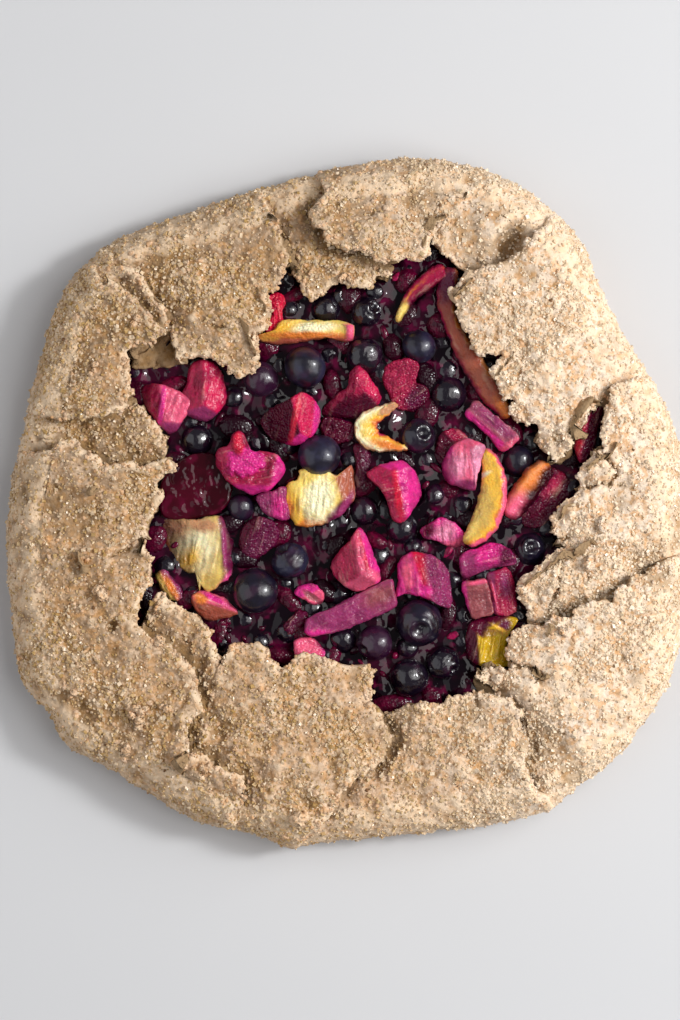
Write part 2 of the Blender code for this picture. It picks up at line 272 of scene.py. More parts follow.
def started(operator: Any, **settings: Any) -> bmesh.types.BMesh:
    """A new bmesh that holds what one of bmesh's create operators makes."""
    mesh = bmesh.new()
    operator(mesh, **settings)
    return mesh


def ball(fineness: int) -> bmesh.types.BMesh:
    """An icosphere 1 across."""
    return started(bmesh.ops.create_icosphere, subdivisions=fineness, radius=0.5)


def globe(around: int, down: int) -> tuple[bmesh.types.BMesh, Points, Points]:
    """A unit sphere, and how far down from its top and how far round each vertex lies."""
    mesh = started(bmesh.ops.create_uvsphere, u_segments=around, v_segments=down, radius=1.0)
    unit = vert_array(mesh)
    ring = np.arccos(np.clip(unit[:, 2], -1, 1)) / math.pi
    return mesh, ring, np.arctan2(unit[:, 1], unit[:, 0])


def grown_verts(geometry: Sequence[Any]) -> list[bmesh.types.BMVert]:
    """The vertices among what a bmesh operator made."""
    return [item for item in geometry if isinstance(item, bmesh.types.BMVert)]


def put_piece(
    name: str,
    mesh: bmesh.types.BMesh,
    finish: bpy.types.Material,
    slot: Slot | None,
    nodes: Sequence[str] = (),
) -> bpy.types.Object:
    """Links a finished bmesh as a smooth piece of the galette.

    Args:
        name: The piece's name.
        mesh: Its shape, freed here.
        finish: Its material.
        slot: The record's slot, or None for the stage.
        nodes: The frame's nodes that it replaces.

    Returns:
        The new object.
    """
    data = bpy.data.meshes.new(name)
    mesh.to_mesh(data)
    mesh.free()
    return put_data(name, data, finish, slot, nodes)


def put_data(
    name: str,
    data: bpy.types.Mesh,
    finish: bpy.types.Material,
    slot: Slot | None,
    nodes: Sequence[str] = (),
) -> bpy.types.Object:
    """Links mesh data as a piece; the arguments are put_piece's."""
    data.materials.append(finish)
    data.shade_smooth()
    piece = bpy.data.objects.new(name, data)
    bpy.context.scene.collection.objects.link(piece)
    if slot is not None:
        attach(piece, BODY)
        if nodes:
            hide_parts(*nodes)
    LOG.info("%s: %d faces", name, len(data.polygons))
    return piece


def turns(rng: np.random.Generator, count: int) -> Points:
    """Random rotations, as an array of 3 by 3 matrices."""
    quats = rng.normal(size=(count, 4))
    quats /= np.linalg.norm(quats, axis=1, keepdims=True)
    w, x, y, z = quats.T
    rows = [
        [1 - 2 * (y * y + z * z), 2 * (x * y - z * w), 2 * (x * z + y * w)],
        [2 * (x * y + z * w), 1 - 2 * (x * x + z * z), 2 * (y * z - x * w)],
        [2 * (x * z - y * w), 2 * (y * z + x * w), 1 - 2 * (x * x + y * y)],
    ]
    return np.moveaxis(np.array(rows), -1, 0)


def joined(name: str, grain: bmesh.types.BMesh, copies: Points) -> bpy.types.Mesh:
    """One mesh of many copies of a shape.

    Args:
        name: The mesh's name.
        grain: The shape, freed here.
        copies: The copies' vertices, of shape (copies, vertices, 3).

    Returns:
        The mesh.
    """
    count, size, _ = copies.shape
    loops = [vert.index for face in grain.faces for vert in face.verts]
    sides = np.array([len(face.verts) for face in grain.faces])
    grain.free()
    corner_index = np.array(loops)[None] + (np.arange(count) * size)[:, None]
    data = bpy.data.meshes.new(name)
    data.vertices.add(count * size)
    data.vertices.foreach_set("co", copies.ravel())
    data.loops.add(corner_index.size)
    data.loops.foreach_set("vertex_index", corner_index.ravel())
    data.polygons.add(count * len(sides))
    starts = np.concatenate([[0], np.cumsum(np.tile(sides, count))[:-1]])
    data.polygons.foreach_set("loop_start", starts)
    data.update(calc_edges=True)
    return data


def scatter(
    name: str,
    grain: bmesh.types.BMesh,
    places: Points,
    sizes: Points,
    seed: int,
    jitter: float,
    level: bool = False,
) -> bpy.types.Mesh:
    """Joins many turned, uneven copies of a grain into one mesh.

    Args:
        name: The mesh's name.
        grain: The grain's shape, about 1 across, freed here.
        places: Array of shape (n, 3), in metres.
        sizes: Array of shape (n, 3), each copy's width along the grain's own axes.
        seed: Sets the turns and the unevenness.
        jitter: How far the copies' corners stray, as a share of their size.
        level: Whether the copies are only turned about +Z.

    Returns:
        The joined mesh, with the attribute "pick", a random number for each copy.
    """
    rng = np.random.default_rng(seed)
    count = len(places)
    shape = vert_array(grain)
    copies = shape[None] + rng.uniform(-jitter, jitter, (count, len(shape), 3))
    if level:
        spin = rng.uniform(0.0, math.tau, count)
        turned = np.zeros((count, 3, 3))
        turned[:, 0, 0] = turned[:, 1, 1] = np.cos(spin)
        turned[:, 1, 0] = np.sin(spin)
        turned[:, 0, 1] = -turned[:, 1, 0]
        turned[:, 2, 2] = 1.0
    else:
        turned = turns(rng, count)
    copies = np.einsum("nij,nkj->nki", turned, copies * sizes[:, None, :])
    copies += places[:, None, :]
    data = joined(name, grain, copies)
    mark_data(data, "pick", np.repeat(rng.random(count), len(shape)))
    return data


# ---- shader graphs ------------------------------------------------------------------


class Value:
    """A number in a shader; Python's operators on it add Math nodes."""

    def __init__(self, graph: Graph, socket: bpy.types.NodeSocket) -> None:
        """Wraps an output socket of a graph."""
        self.graph = graph
        self.socket = socket

    def _math(self, operation: str, first: Any, second: Any = 0.0) -> Value:
        """Adds one Math node and returns its result."""
        node = self.graph.node("ShaderNodeMath", {"operation": operation}, {0: first, 1: second})
        return Value(self.graph, node.outputs[0])

    def __add__(self, other: Any) -> Value:
        """Sum."""
        return self._math("ADD", self, other)

    __radd__ = __add__

    def __mul__(self, other: Any) -> Value:
        """Product."""
        return self._math("MULTIPLY", self, other)

    __rmul__ = __mul__

    def __sub__(self, other: Any) -> Value:
        """Difference."""
        return self._math("SUBTRACT", self, other)

    def __rsub__(self, other: Any) -> Value:
        """Difference from a number."""
        return self._math("SUBTRACT", other, self)

    def between(self, low: float, high: float) -> Value:
        """Smooth step from 0 at low to 1 at high."""
        node = self.graph.node(
            "ShaderNodeMapRange",
            {"interpolation_type": "SMOOTHSTEP"},
            {"Value": self, "From Min": low, "From Max": high},
        )
        return Value(self.graph, node.outputs["Result"])


class Graph:
    """One material's node tree, with a method for each kind of step."""

    def __init__(self, name: str) -> None:
        """Starts a material that has only its Principled shader and output."""
        self.material = bpy.data.materials.new(name)
        self.material.use_nodes = True
        self.tree = self.material.node_tree
        self.shader = self.tree.nodes["Principled BSDF"]
        self.place = self.node("ShaderNodeTexCoord", {}, {}).outputs["Object"]

    def node(self, kind: str, settings: dict[str, Any], sockets: dict[Any, Any]) -> bpy.types.Node:
        """Adds a node.

        Args:
            kind: The node's type.
            settings: Its properties, set first.
            sockets: Its inputs by name or index: numbers, colours, Values or sockets.

        Returns:
            The node.
        """
        node = self.tree.nodes.new(kind)
        for key, setting in settings.items():
            setattr(node, key, setting)
        for key, value in sockets.items():
            self.feed(node.inputs[key], value)
        return node

    def feed(self, socket: bpy.types.NodeSocket, value: Any) -> None:
        """Links a Value or a socket to an input, or sets the input's own number."""
        if isinstance(value, Value):
            self.tree.links.new(value.socket, socket)
        elif isinstance(value, bpy.types.NodeSocket):
            self.tree.links.new(value, socket)
        elif isinstance(value, tuple) and socket.type == "RGBA":
            socket.default_value = (*value, 1.0)
        else:
            socket.default_value = value

    def noise(self, width: float, detail: float = 3.0) -> Value:
        """Noise from 0 to 1 whose lumps are about width metres wide."""
        sockets = {"Vector": self.place, "Scale": 1.0 / width, "Detail": detail}
        return Value(self, self.node("ShaderNodeTexNoise", {}, sockets).outputs[0])

    def _voronoi(self, width: float) -> bpy.types.Node:
        """Cells about width metres wide."""
        return self.node("ShaderNodeTexVoronoi", {}, {"Vector": self.place, "Scale": 1.0 / width})

    def cells(self, width: float) -> Value:
        """Distance to the nearest cell's middle, in cell widths."""
        return Value(self, self._voronoi(width).outputs["Distance"])

    def grains(self, width: float) -> Value:
        """A random number for each grain about width metres wide."""
        colour = self._voronoi(width).outputs["Color"]
        parts = self.node("ShaderNodeSeparateColor", {}, {"Color": colour})
        return Value(self, parts.outputs["Red"])

    def painted(self, name: str) -> Value:
        """A number stored on the mesh."""
        node = self.node("ShaderNodeAttribute", {"attribute_name": name}, {})
        return Value(self, node.outputs["Fac"])

    def painted_colour(self, name: str) -> bpy.types.NodeSocket:
        """A colour stored on the mesh."""
        return self.node("ShaderNodeAttribute", {"attribute_name": name}, {}).outputs["Color"]

    def painted_light_side(self) -> Value:
        """0 over most of the galette, rising to 1 on its right side, towards the window, for
        painted light.
        """
        parts = self.node("ShaderNodeSeparateXYZ", {}, {"Vector": self.place}).outputs
        across = Value(self, parts["X"]) + 0.1 * Value(self, parts["Y"])
        return across.between(-8 * MM, 72 * MM)

    def mix(self, share: Any, first: Any, second: Any) -> bpy.types.NodeSocket:
        """A colour between two others."""
        node = self.node("ShaderNodeMix", {"data_type": "RGBA"}, {0: share})
        self.feed(node.inputs[6], first)
        self.feed(node.inputs[7], second)
        return node.outputs[2]

    def layered(self, base: Any, *layers: tuple[Any, Any]) -> Any:
        """A colour with others laid over it in turn, each given after its share."""
        for share, tint in layers:
            base = self.mix(share, base, tint)
        return base

    def bump(self, height: Value, depth: float, under: Any = None) -> bpy.types.NodeSocket:
        """A surface normal roughened by a height from 0 to 1 that is depth metres deep."""
        sockets = {"Height": height, "Distance": depth, "Strength": 1.0}
        if under is not None:
            sockets["Normal"] = under
        return self.node("ShaderNodeBump", {}, sockets).outputs["Normal"]

    def finish(self, **sockets: Any) -> bpy.types.Material:
        """Feeds the shader's sockets, named with underscores, and returns the material."""
        for key, value in sockets.items():
            self.feed(self.shader.inputs[key.replace("_", " ")], value)
        return self.material


# ---- finishes -----------------------------------------------------------------------


@dataclass(frozen=True)
class PastryFinish:
    """Dry whole-grain pastry: sandy, freckled with bran, paler where it is torn, with painted shade
    and light.
    """

    name: str = "baked_pastry"
    cream: Colour = (0.88, 0.67, 0.49)
    tan: Colour = (0.57, 0.36, 0.205)
    toast: Colour = (0.66, 0.325, 0.105)
    golden: Colour = (0.50, 0.30, 0.085)
    plain: Colour = (0.56, 0.405, 0.30)
    brown: Colour = (0.32, 0.165, 0.055)
    # painted shade: the colour that the 'shade' mark lays on the left side, away from the window
    # light
    umber: Colour = (0.25, 0.16, 0.09)
    bran: Colour = (0.10, 0.055, 0.03)
    # the torn dough's own paler colour, also laid on raised points as a painted highlight
    torn: Colour = (0.90, 0.69, 0.48)
    # painted light: the paler colour laid over the right side, towards the window
    pale: Colour = (1.0, 0.88, 0.735)
    # painted shade laid in hollows, creases and under the laps
    hollow_shade: Colour = (0.25, 0.14, 0.05)

    def material(self) -> bpy.types.Material:
        """Builds the material."""
        graph = Graph(self.name)
        blotch = graph.noise(6 * MM, 4.0)
        crumbs = graph.noise(2.2 * MM, 3.0)
        grain = graph.noise(0.8 * MM, 2.0)
        sand = graph.grains(0.9 * MM)
        grit = graph.cells(1.0 * MM)
        freckle = graph.cells(2.4 * MM)
        sugar = graph.painted("sugar")
        flecks = graph.noise(3.0 * MM, 5.0).between(0.47, 0.60)
        right = graph.painted_light_side()
        shade = graph.painted("shade")
        speckled = 0.45 + 0.35 * sugar
        toasted = (0.8 * blotch + 0.6 * crumbs + 0.2 * sand).between(0.76, 0.98)
        colour = graph.layered(
            self.tan,
            ((crumbs + 0.5 * blotch).between(0.60, 0.90), self.cream),
            ((1 - sugar) * 0.35, self.plain),
            # painted shade: darker towards the left, away from the window light
            (shade * 0.9, self.umber),
            # painted light: 'right' lays the side towards the window paler, and changes how much
            # sugar, toast and grit show there
            (right * 0.62, self.pale),
            (sugar * blotch.between(0.40, 0.62) * (0.6 - 0.3 * right), self.golden),
            (flecks * (0.42 + 0.25 * right), self.toast),
            (toasted * (0.6 - 0.2 * right), self.toast),
            (sand.between(0.60, 1.0) * speckled, self.cream),
            (sand.between(0.36, 0.1) * (speckled - 0.2 * right), self.brown),
            (grain.between(0.46, 0.30) * 0.25, self.brown),
            # painted shade: the 'shade' mark darkens the left side once more, over the grains
            (shade * 0.2, self.umber),
            (graph.painted("torn") * crumbs.between(0.30, 0.55) * 0.75, self.torn),
            # painted highlight: raised points and broad high swells lighter
            (graph.painted("ridge_highlight").between(0.15, 0.9) * 0.65, self.torn),
            # painted shade: hollows, broad low swells, creases beside laps and parts under a
            # neighbour darker
            (graph.painted("hollow").between(0.1, 0.9) * 0.8, self.hollow_shade),
            (freckle.between(0.11, 0.07) * 0.75, self.bran),
        )
        normal = graph.bump(crumbs, 0.75 * MM)
        normal = graph.bump((1 - grit) * (0.35 + 0.65 * sugar), 0.20 * MM, normal)
        normal = graph.bump(grain, 0.14 * MM, normal)
        return graph.finish(
            Base_Color=colour, Roughness=0.75 + 0.15 * grain, Normal=normal,
            Specular_IOR_Level=0.2,
        )


@dataclass(frozen=True)
class SugarFinish:
    """Coarse raw sugar baked on: clear, straw and amber crystals."""

    name: str = "raw_sugar"
    clear: Colour = (0.68, 0.52, 0.35)
    straw: Colour = (0.58, 0.39, 0.19)
    amber: Colour = (0.48, 0.30, 0.11)
    # painted light: the paler colour laid over the right side, towards the window
    pale: Colour = (1.0, 0.88, 0.72)

    def material(self) -> bpy.types.Material:
        """Builds the material."""
        graph = Graph(self.name)
        pick = graph.painted("pick")
        colour = graph.layered(
            self.straw,
            (pick.between(0.2, 0.5), self.clear),
            (pick.between(0.72, 0.9), self.amber),
            # painted light: crystals paler towards the window on the right
            (graph.painted_light_side() * 0.4, self.pale),
        )
        normal = graph.bump(graph.noise(0.4 * MM, 1.0), 0.05 * MM)
        return graph.finish(
            Base_Color=colour, Roughness=0.25, Normal=normal, Specular_IOR_Level=0.5
        )


@dataclass(frozen=True)
class CrumbFinish:
    """Loose dough crumbs and bran flakes on the crust."""

    name: str = "pastry_crumb"
    pale: Colour = (0.60, 0.44, 0.29)
    tan: Colour = (0.45, 0.28, 0.15)
    # painted light: the paler colour laid over the right side, towards the window
    light: Colour = (1.0, 0.85, 0.68)
    bran: Colour = (0.20, 0.10, 0.045)

    def material(self) -> bpy.types.Material:
        """Builds the material."""
        graph = Graph(self.name)
        pick = graph.painted("pick")
        grain = graph.noise(0.9 * MM, 2.0)
        colour = graph.layered(
            self.pale,
            (pick.between(0.3, 0.7), self.tan),
            # painted light: crumbs paler towards the window on the right
            (graph.painted_light_side() * 0.3, self.light),
            (pick.between(0.90, 0.95), self.bran),
            (grain.between(0.5, 0.3) * 0.3, self.bran),
        )
        return graph.finish(
            Base_Color=colour, Roughness=0.85, Normal=graph.bump(grain, 0.2 * MM),
            Specular_IOR_Level=0.25,
        )


@dataclass(frozen=True)
class JamFinish:
    """Cooked fruit syrup: near black where deep, red-purple where thin, wet."""

    name: str = "berry_jam"
    deep: Colour = (0.004, 0.0004, 0.003)
    wine: Colour = (0.042, 0.0010, 0.014)
    red: Colour = (0.13, 0.0025, 0.036)

    def material(self) -> bpy.types.Material:
        """Builds the material."""
        graph = Graph(self.name)
        colour = graph.layered(
            self.deep,
            (graph.noise(10 * MM, 3.0).between(0.42, 0.66), self.wine),
            (graph.noise(5 * MM, 2.0).between(0.54, 0.70) * 0.7, self.red),
        )
        normal = graph.bump(graph.noise(4.5 * MM, 1.5), 0.6 * MM)
        return graph.finish(
            Base_Color=colour, Roughness=0.05, Normal=normal, Specular_IOR_Level=0.30,
        )


@dataclass(frozen=True)
class BerryFinish:
    """Blueberry skin: blue-black with a dusty bloom, or wet with juice."""

    name: str
    skin: Colour
    bloom: Colour
    dust: float             # how much bloom is left on the skin, 0 to 1
    juice: float            # how wet it is, 0 to 1
    stain: Colour = (0.05, 0.006, 0.03)
    crown: Colour = (0.006, 0.003, 0.008)

    def material(self) -> bpy.types.Material:
        """Builds the material."""
        graph = Graph(self.name)
        patches = graph.noise(5 * MM, 4.0)
        speckle = graph.noise(0.9 * MM, 2.0)
        bloom = patches.between(0.36, 0.62) * (0.6 + 0.4 * speckle) * self.dust
        colour = graph.layered(
            self.skin,
            (bloom, self.bloom),
            (graph.noise(7 * MM, 2.0).between(0.5, 0.7) * 0.4, self.stain),
            (graph.painted("crown") * 0.85, self.crown),
        )
        normal = graph.bump(graph.noise(2.4 * MM, 3.0), (0.10 + 0.25 * self.juice) * MM)
        normal = graph.bump(speckle, 0.07 * self.juice * MM, normal)
        return graph.finish(
            Base_Color=colour, Roughness=0.42 - 0.26 * self.juice + 0.2 * bloom, Normal=normal,
            Coat_Weight=0.15 + 0.5 * self.juice, Coat_Roughness=0.10, Specular_IOR_Level=0.5,
        )


@dataclass(frozen=True)
class FruitFinish:
    """Cut, cooked fruit: its painted tint, mottled and fibrous, wet where it is painted so."""

    name: str
    juice: Colour = (0.035, 0.001, 0.010)
    pale: Colour = (1.0, 0.62, 0.50)
    mottle: float = 0.5         # how far the tint darkens in patches
    streak: float = 0.14        # how much paler its fibres are
    groove: float = 0.4         # how much darker the grooves between them are

    def material(self) -> bpy.types.Material:
        """Builds the material."""
        graph = Graph(self.name)
        fibre = graph.painted("fibre")
        wet = graph.painted("wet")
        tint = graph.painted_colour("tint")
        patches = graph.noise(3.6 * MM, 4.0)
        fine = graph.noise(0.7 * MM, 2.0)
        pebbles = graph.cells(0.9 * MM)
        shade = graph.mix(0.6, tint, self.juice)
        colour = graph.layered(
            tint,
            (patches.between(0.54, 0.36) * self.mottle, shade),
            (graph.noise(8 * MM, 3.0).between(0.55, 0.66) * self.mottle, shade),
            (fibre.between(0.30, 0.05) * self.groove, shade),
            (fibre.between(0.62, 1.0) * self.streak, self.pale),
            (fine.between(0.58, 0.42) * 0.5 * self.groove, shade),
            # juice stain and painted shade: darker towards each piece's lower side
            (graph.painted("low") * 0.85, self.juice),
        )
        normal = graph.bump(graph.noise(1.6 * MM, 3.0), 0.3 * MM)
        normal = graph.bump((1 - pebbles) * wet, 0.55 * MM, normal)
        normal = graph.bump(fine, 0.07 * MM, normal)
        return graph.finish(
            Base_Color=colour, Roughness=0.24 - 0.12 * wet, Normal=normal,
            Specular_IOR_Level=0.29, Subsurface_Weight=0.2, Subsurface_Scale=1.5 * MM,
        )


@dataclass(frozen=True)
class ScrapFinish:
    """Shreds of fruit and skin in the syrup, from ink to magenta."""

    name: str = "fruit_scrap"
    ink: Colour = (0.015, 0.001, 0.006)
    wine: Colour = (0.10, 0.002, 0.022)
    magenta: Colour = (0.34, 0.008, 0.07)
    pebbly: float = 0.0         # depth of its pebbled skin, millimetres

    def material(self) -> bpy.types.Material:
        """Builds the material."""
        graph = Graph(self.name)
        pick = graph.painted("pick")
        colour = graph.layered(
            self.ink,
            (pick.between(0.35, 0.7), self.wine),
            (pick.between(0.86, 0.96), self.magenta),
            (graph.noise(2 * MM, 3.0).between(0.6, 0.4) * 0.6, self.ink),
        )
        normal = graph.bump(graph.noise(3.2 * MM, 2.0), 0.3 * MM)
        normal = graph.bump(1 - graph.cells(1.0 * MM), self.pebbly * MM, normal)
        return graph.finish(
            Base_Color=colour, Roughness=0.1, Normal=normal, Specular_IOR_Level=0.30,
        )


@dataclass(frozen=True)
class PaperFinish:
    """The plain pale floor."""

    name: str = "pale_floor"
    light: Colour = (0.62, 0.62, 0.63)
    dark: Colour = (0.60, 0.60, 0.61)

    def material(self) -> bpy.types.Material:
        """Builds the material."""
        graph = Graph(self.name)
        colour = graph.mix(graph.noise(60 * MM, 2.0) * 0.5, self.light, self.dark)
        return graph.finish(Base_Color=colour, Roughness=0.75)


# ---- the crust ----------------------------------------------------------------------


class Side(Enum):
    """Which of a seam's two flaps lies on top, going round clockwise."""

    BEFORE = "before"
    AFTER = "after"


@dataclass(frozen=True)
class Seam:
    """The line, from the rim to the opening, where one flap lies on the next."""

    over: Side
    lift: float             # how far the upper flap stands over the lower one
    reach: float            # how far from the line it sinks back
    corners: tuple[tuple[float, float], ...]
    hidden: tuple[tuple[float, float], ...] = ()    # the lower flap's own side, if far off


@dataclass(frozen=True)
class Flap:
    """One fold of the pastry, named clockwise, after the seam of the same place."""

    name: str
    rise: float             # how far it stands over the usual height
    edge: tuple[tuple[float, float], ...]   # corners of its torn edge, clockwise
    turn: int = 0           # where it turns in from its first seam: corners past its end


@dataclass(frozen=True)
class Crack:
    """A narrow split in the pastry."""

    line: Line
    depth: float
    width: float


@dataclass(frozen=True)
class Dimple:
    """A pressed-in hollow, an ellipse in plan."""

    x: float
    y: float
    half_length: float
    half_width: float
    bearing: float
    depth: float


RIM = (
    (6, 116), (23, 118), (40, 116), (55, 111), (69, 102), (81, 89), (88, 72), (97, 55), (105, 42),
    (113, 25), (117, 4), (117, -20), (115, -48), (108, -68), (93, -88), (80, -98), (70, -106),
    (50, -111), (26, -114), (-3, -117), (-18, -119), (-28, -115), (-43, -112), (-57, -106),
    (-78, -93), (-95, -83), (-101, -72), (-110, -61), (-113, -40), (-115, -12), (-111, 16),
    (-107, 35), (-99, 63), (-92, 77), (-79, 89), (-62, 96), (-45, 102), (-20, 110),
)

# Each flap stands after the seam in the same row.
FOLDS: tuple[tuple[Seam, Flap], ...] = (
    (
        Seam(Side.BEFORE, 3.2, 18, (
            (-28, 107), (-26, 100.5), (-22, 94), (-20.5, 88), (-19, 84), (-18.2, 80))),
        Flap("tongue", -1.6, (
            (-17, 85), (-16.5, 76), (-14.5, 71), (-10.5, 68.5), (-4.5, 71), (-2.5, 74),
            (2, 72), (5.5, 73), (10, 72), (11, 75.5), (15, 77), (19.5, 77.5), (21, 80))),
    ),
    (
        Seam(Side.AFTER, 4.0, 22, (
            (-10, 113), (-5.8, 104.7), (-11.9, 98.3), (-9.9, 93.3), (-6.3, 90.4), (-5.6, 86.4),
            (0, 85), (3.4, 85), (6.8, 83), (11.7, 80.2))),
        Flap("crown", 0.6, turn=-4, edge=(
            (18, 80.2), (22, 81.6), (27, 81), (29.8, 84), (28.9, 88), (28.2, 92.5), (29.6, 89),
            (31.2, 86.4), (33.3, 83), (38, 79.6))),
    ),
    (
        Seam(Side.AFTER, 3.2, 20, (
            (73, 100), (67.7, 93), (62.8, 88.8), (60.7, 89.1), (60, 85.7), (56.6, 83.3),
            (51.7, 79.8), (42, 78.7), (39.2, 75))),
        Flap("north_east", 0.8, (
            (39.5, 73.5), (36.5, 71.5), (36.5, 68), (38, 63), (41, 57.5), (43, 52.5), (47, 48.5),
            (49, 49.5), (54, 49.5), (51.5, 46.5), (49.5, 44), (51.5, 40), (54, 34), (57, 34),
            (55.5, 30.5), (58, 27.5), (61.5, 25), (65.5, 25), (65, 19.5), (67.5, 16.5),
            (71.5, 14), (75, 13.2), (78, 15), (78.2, 21), (78.8, 27.9), (83, 31.3))),
    ),
    (
        Seam(Side.AFTER, 2.0, 14, (
            (109, 45), (104, 43.5), (97, 41), (92, 39.5), (88.6, 35))),
        Flap("east", 0.0, (
            (87.7, 29.2), (86.7, 25), (86.7, 19.4), (87, 16.6), (81.6, 13.2), (78.1, 9),
            (80.2, 5.3), (76.5, 0.5), (72.5, -2.5), (70, -4.5), (71, -8.5), (69.5, -11),
            (73, -13.5), (75.5, -17), (76, -19.5), (70, -19.5), (65, -23), (59, -27),
            (59.5, -33.5), (63, -37), (63, -41))),
    ),
    (
        Seam(Side.AFTER, 3.0, 16, (
            (116, -17), (108, -21), (99.2, -25.8), (92.8, -30.8), (89.9, -33.7), (85.6, -34),
            (79.9, -34.3), (76.3, -38.3), (70.6, -38), (68.4, -42.2))),
        Flap("south_east", 0.0, turn=2, edge=(
            (64.1, -41.2), (60.5, -41.5), (55.4, -46.6), (54.7, -52.3), (57, -55.2),
            (58.6, -55.9), (52, -56.6), (46.9, -56.4), (44.1, -60.2))),
    ),
    (
        Seam(Side.AFTER, 3.4, 18, (
            (74, -107), (69.8, -101), (64.9, -97.8), (62.4, -87.9), (64, -83.8), (59.8, -77.2),
            (59.8, -70.7), (52.5, -65.6))),
        Flap("south", 0.0, (
            (47, -65.5), (43.5, -64.9), (36, -65.6), (33.7, -68.6), (28, -68.4), (22, -68),
            (17, -72), (13, -71.5))),
    ),
    (
        Seam(Side.AFTER, 3.8, 20, (
            (-15, -117.6), (-11.7, -113.5), (-6, -108.5), (-2.7, -102.7), (1.4, -96.9),
            (5.4, -92.8), (11.2, -89.4), (15.4, -84.6), (15.6, -77.2), (10.8, -69))),
        Flap("south_west", 0.0, turn=3, edge=(
            (9, -67), (9.5, -61.5), (11, -56), (5, -55.5), (-0.5, -54.5), (-7, -53), (-10, -51),
            (-14.5, -51), (-17, -53.5), (-20.5, -55.5), (-24.5, -53.5), (-26, -50.5),
            (-29, -47.5), (-32.5, -48), (-36.5, -48.5), (-41, -52), (-42.2, -55.5),
            (-43.5, -52), (-44, -47.5), (-45.5, -42), (-52, -37.5), (-57, -34.5), (-61, -31))),
    ),
    (
        Seam(Side.AFTER, 3.8, 20, (
            (-46, -113), (-36, -110.8), (-38.6, -104.9), (-34, -103.6), (-33, -97.8),
            (-33.4, -91.9), (-41.1, -90), (-45.1, -85.3), (-52.3, -84), (-51.6, -75.7),
            (-46.4, -71.7), (-47.7, -67.9), (-49.6, -61.2), (-50.3, -56.1), (-54.8, -50.9),
            (-60, -46.9), (-63.9, -45.1), (-69.1, -41.8)), (
            (-66, -100), (-70, -84), (-70, -66), (-71, -50), (-67, -38), (-63.5, -31))),
        Flap("west", 0.4, turn=-12, edge=(
            (-69.5, -38), (-68.5, -35), (-66, -29.5), (-64.3, -22.5), (-63.3, -19),
            (-66, -16), (-70, -14.5), (-66, -12.5), (-66, -9), (-65, -5), (-62, 0), (-61, 3.5),
            (-62, 6), (-60, 8.5), (-57.5, 10.5))),
    ),
    (
        Seam(Side.BEFORE, 3.0, 16, (
            (-111, 17), (-104.3, 16.9), (-98.5, 17.4), (-96.1, 21.1), (-90.8, 22.1),
            (-86.1, 16.9), (-81.5, 14.6), (-81.5, 11), (-76.2, 13.3), (-73.2, 14.6),
            (-67.3, 12.2), (-63.9, 14.6), (-59, 14.3), (-56.2, 12.6))),
        Flap("pocket", -2.2, (
            (-60.5, 16.5), (-60.9, 19.2), (-59.8, 22.1), (-66.2, 29.2), (-69.7, 32.7))),
    ),
    (
        Seam(Side.AFTER, 2.6, 14, (
            (-107, 30), (-96, 27.9), (-89, 27.2), (-83.8, 27.7), (-81.5, 28), (-76.2, 30.3),
            (-72.7, 32.1))),
        Flap("west_upper", 0.6, (
            (-70.9, 36.2), (-72.1, 42.6), (-73.4, 46.2), (-73, 49.7), (-69, 53), (-64, 53.5))),
    ),
    (
        Seam(Side.BEFORE, 4.2, 20, (
            (-93, 84), (-86.7, 81.6), (-84.7, 80.2), (-83.8, 76.6), (-80.9, 72.6),
            (-76.2, 73.1), (-73.2, 70.8), (-69.7, 66.7), (-65, 62.6), (-60.9, 59.6),
            (-58.6, 58))),
        Flap("west_second", 0.0, (
            (-73, 49), (-72.7, 45.4), (-68, 44.8), (-65, 45.6), (-61.5, 49), (-60.4, 53),
            (-58.4, 57.5))),
    ),
    (
        Seam(Side.BEFORE, 2.2, 12, (
            (-90, 87), (-84.7, 81.6), (-79.1, 80.8), (-70.3, 79), (-68.5, 75.5), (-67.4, 72),
            (-64, 69), (-59.6, 65), (-59, 61))),
        Flap("north_west", 0.4, (
            (-65.5, 45), (-59.5, 45.5), (-54.5, 48.5), (-50, 48.5), (-44, 48), (-41, 46),
            (-36.5, 43), (-34.5, 41), (-30.5, 43), (-28, 46), (-28, 49.5), (-31.5, 55),
            (-29, 56.5), (-26, 58.5), (-24, 62), (-24, 64.5), (-25.5, 67), (-25, 70.5),
            (-22.5, 71), (-22, 74.5), (-20, 78))),
    ),
)

CRACKS = (
    Crack(Line(((28.3, 92), (28.0, 95), (28.6, 98))), 1.6, 0.5),
    Crack(Line(((-46, 59.4), (-42, 59), (-39, 57.6), (-34, 58.4))), 1.5, 0.5),
    Crack(Line(((74.5, -20), (73, -28), (70.5, -36))), 2.2, 0.6),
    Crack(Line(((86, 17), (91, 12.5), (92.7, 9), (90, 6), (80, 4.5))), 2.6, 0.7),
    Crack(Line(((43.5, -63), (45, -67), (45.5, -70))), 1.2, 0.6),
    Crack(Line(((49, -56), (50, -60), (49, -63))), 1.4, 0.5),
    Crack(Line(((57, -56), (62, -55.6), (66, -58), (67, -62))), 2.0, 0.6),
    Crack(Line(((-66, -14.5), (-70, -14.5), (-74, -16.8), (-80, -19.2))), 2.6, 0.7),
    Crack(Line(((-81, 27.8), (-76, 26), (-70, 24))), 0.8, 0.6),
    Crack(Line(((-52, -66), (-56, -70), (-59, -78))), 0.9, 0.7),
    Crack(Line(((6, 96), (11, 98.5), (15, 97))), 0.7, 0.45),
    Crack(Line(((69, -13), (72, -14), (77, -12))), 1.4, 0.6),
    Crack(Line(((-94, -67), (-90, -73), (-84, -77), (-80, -82))), 1.6, 1.0),
    Crack(Line(((84, -19.5), (83, -24), (83.6, -29))), 1.6, 0.7),
    Crack(Line(((98, -68), (96, -75), (91, -81))), 1.5, 1.0),
)

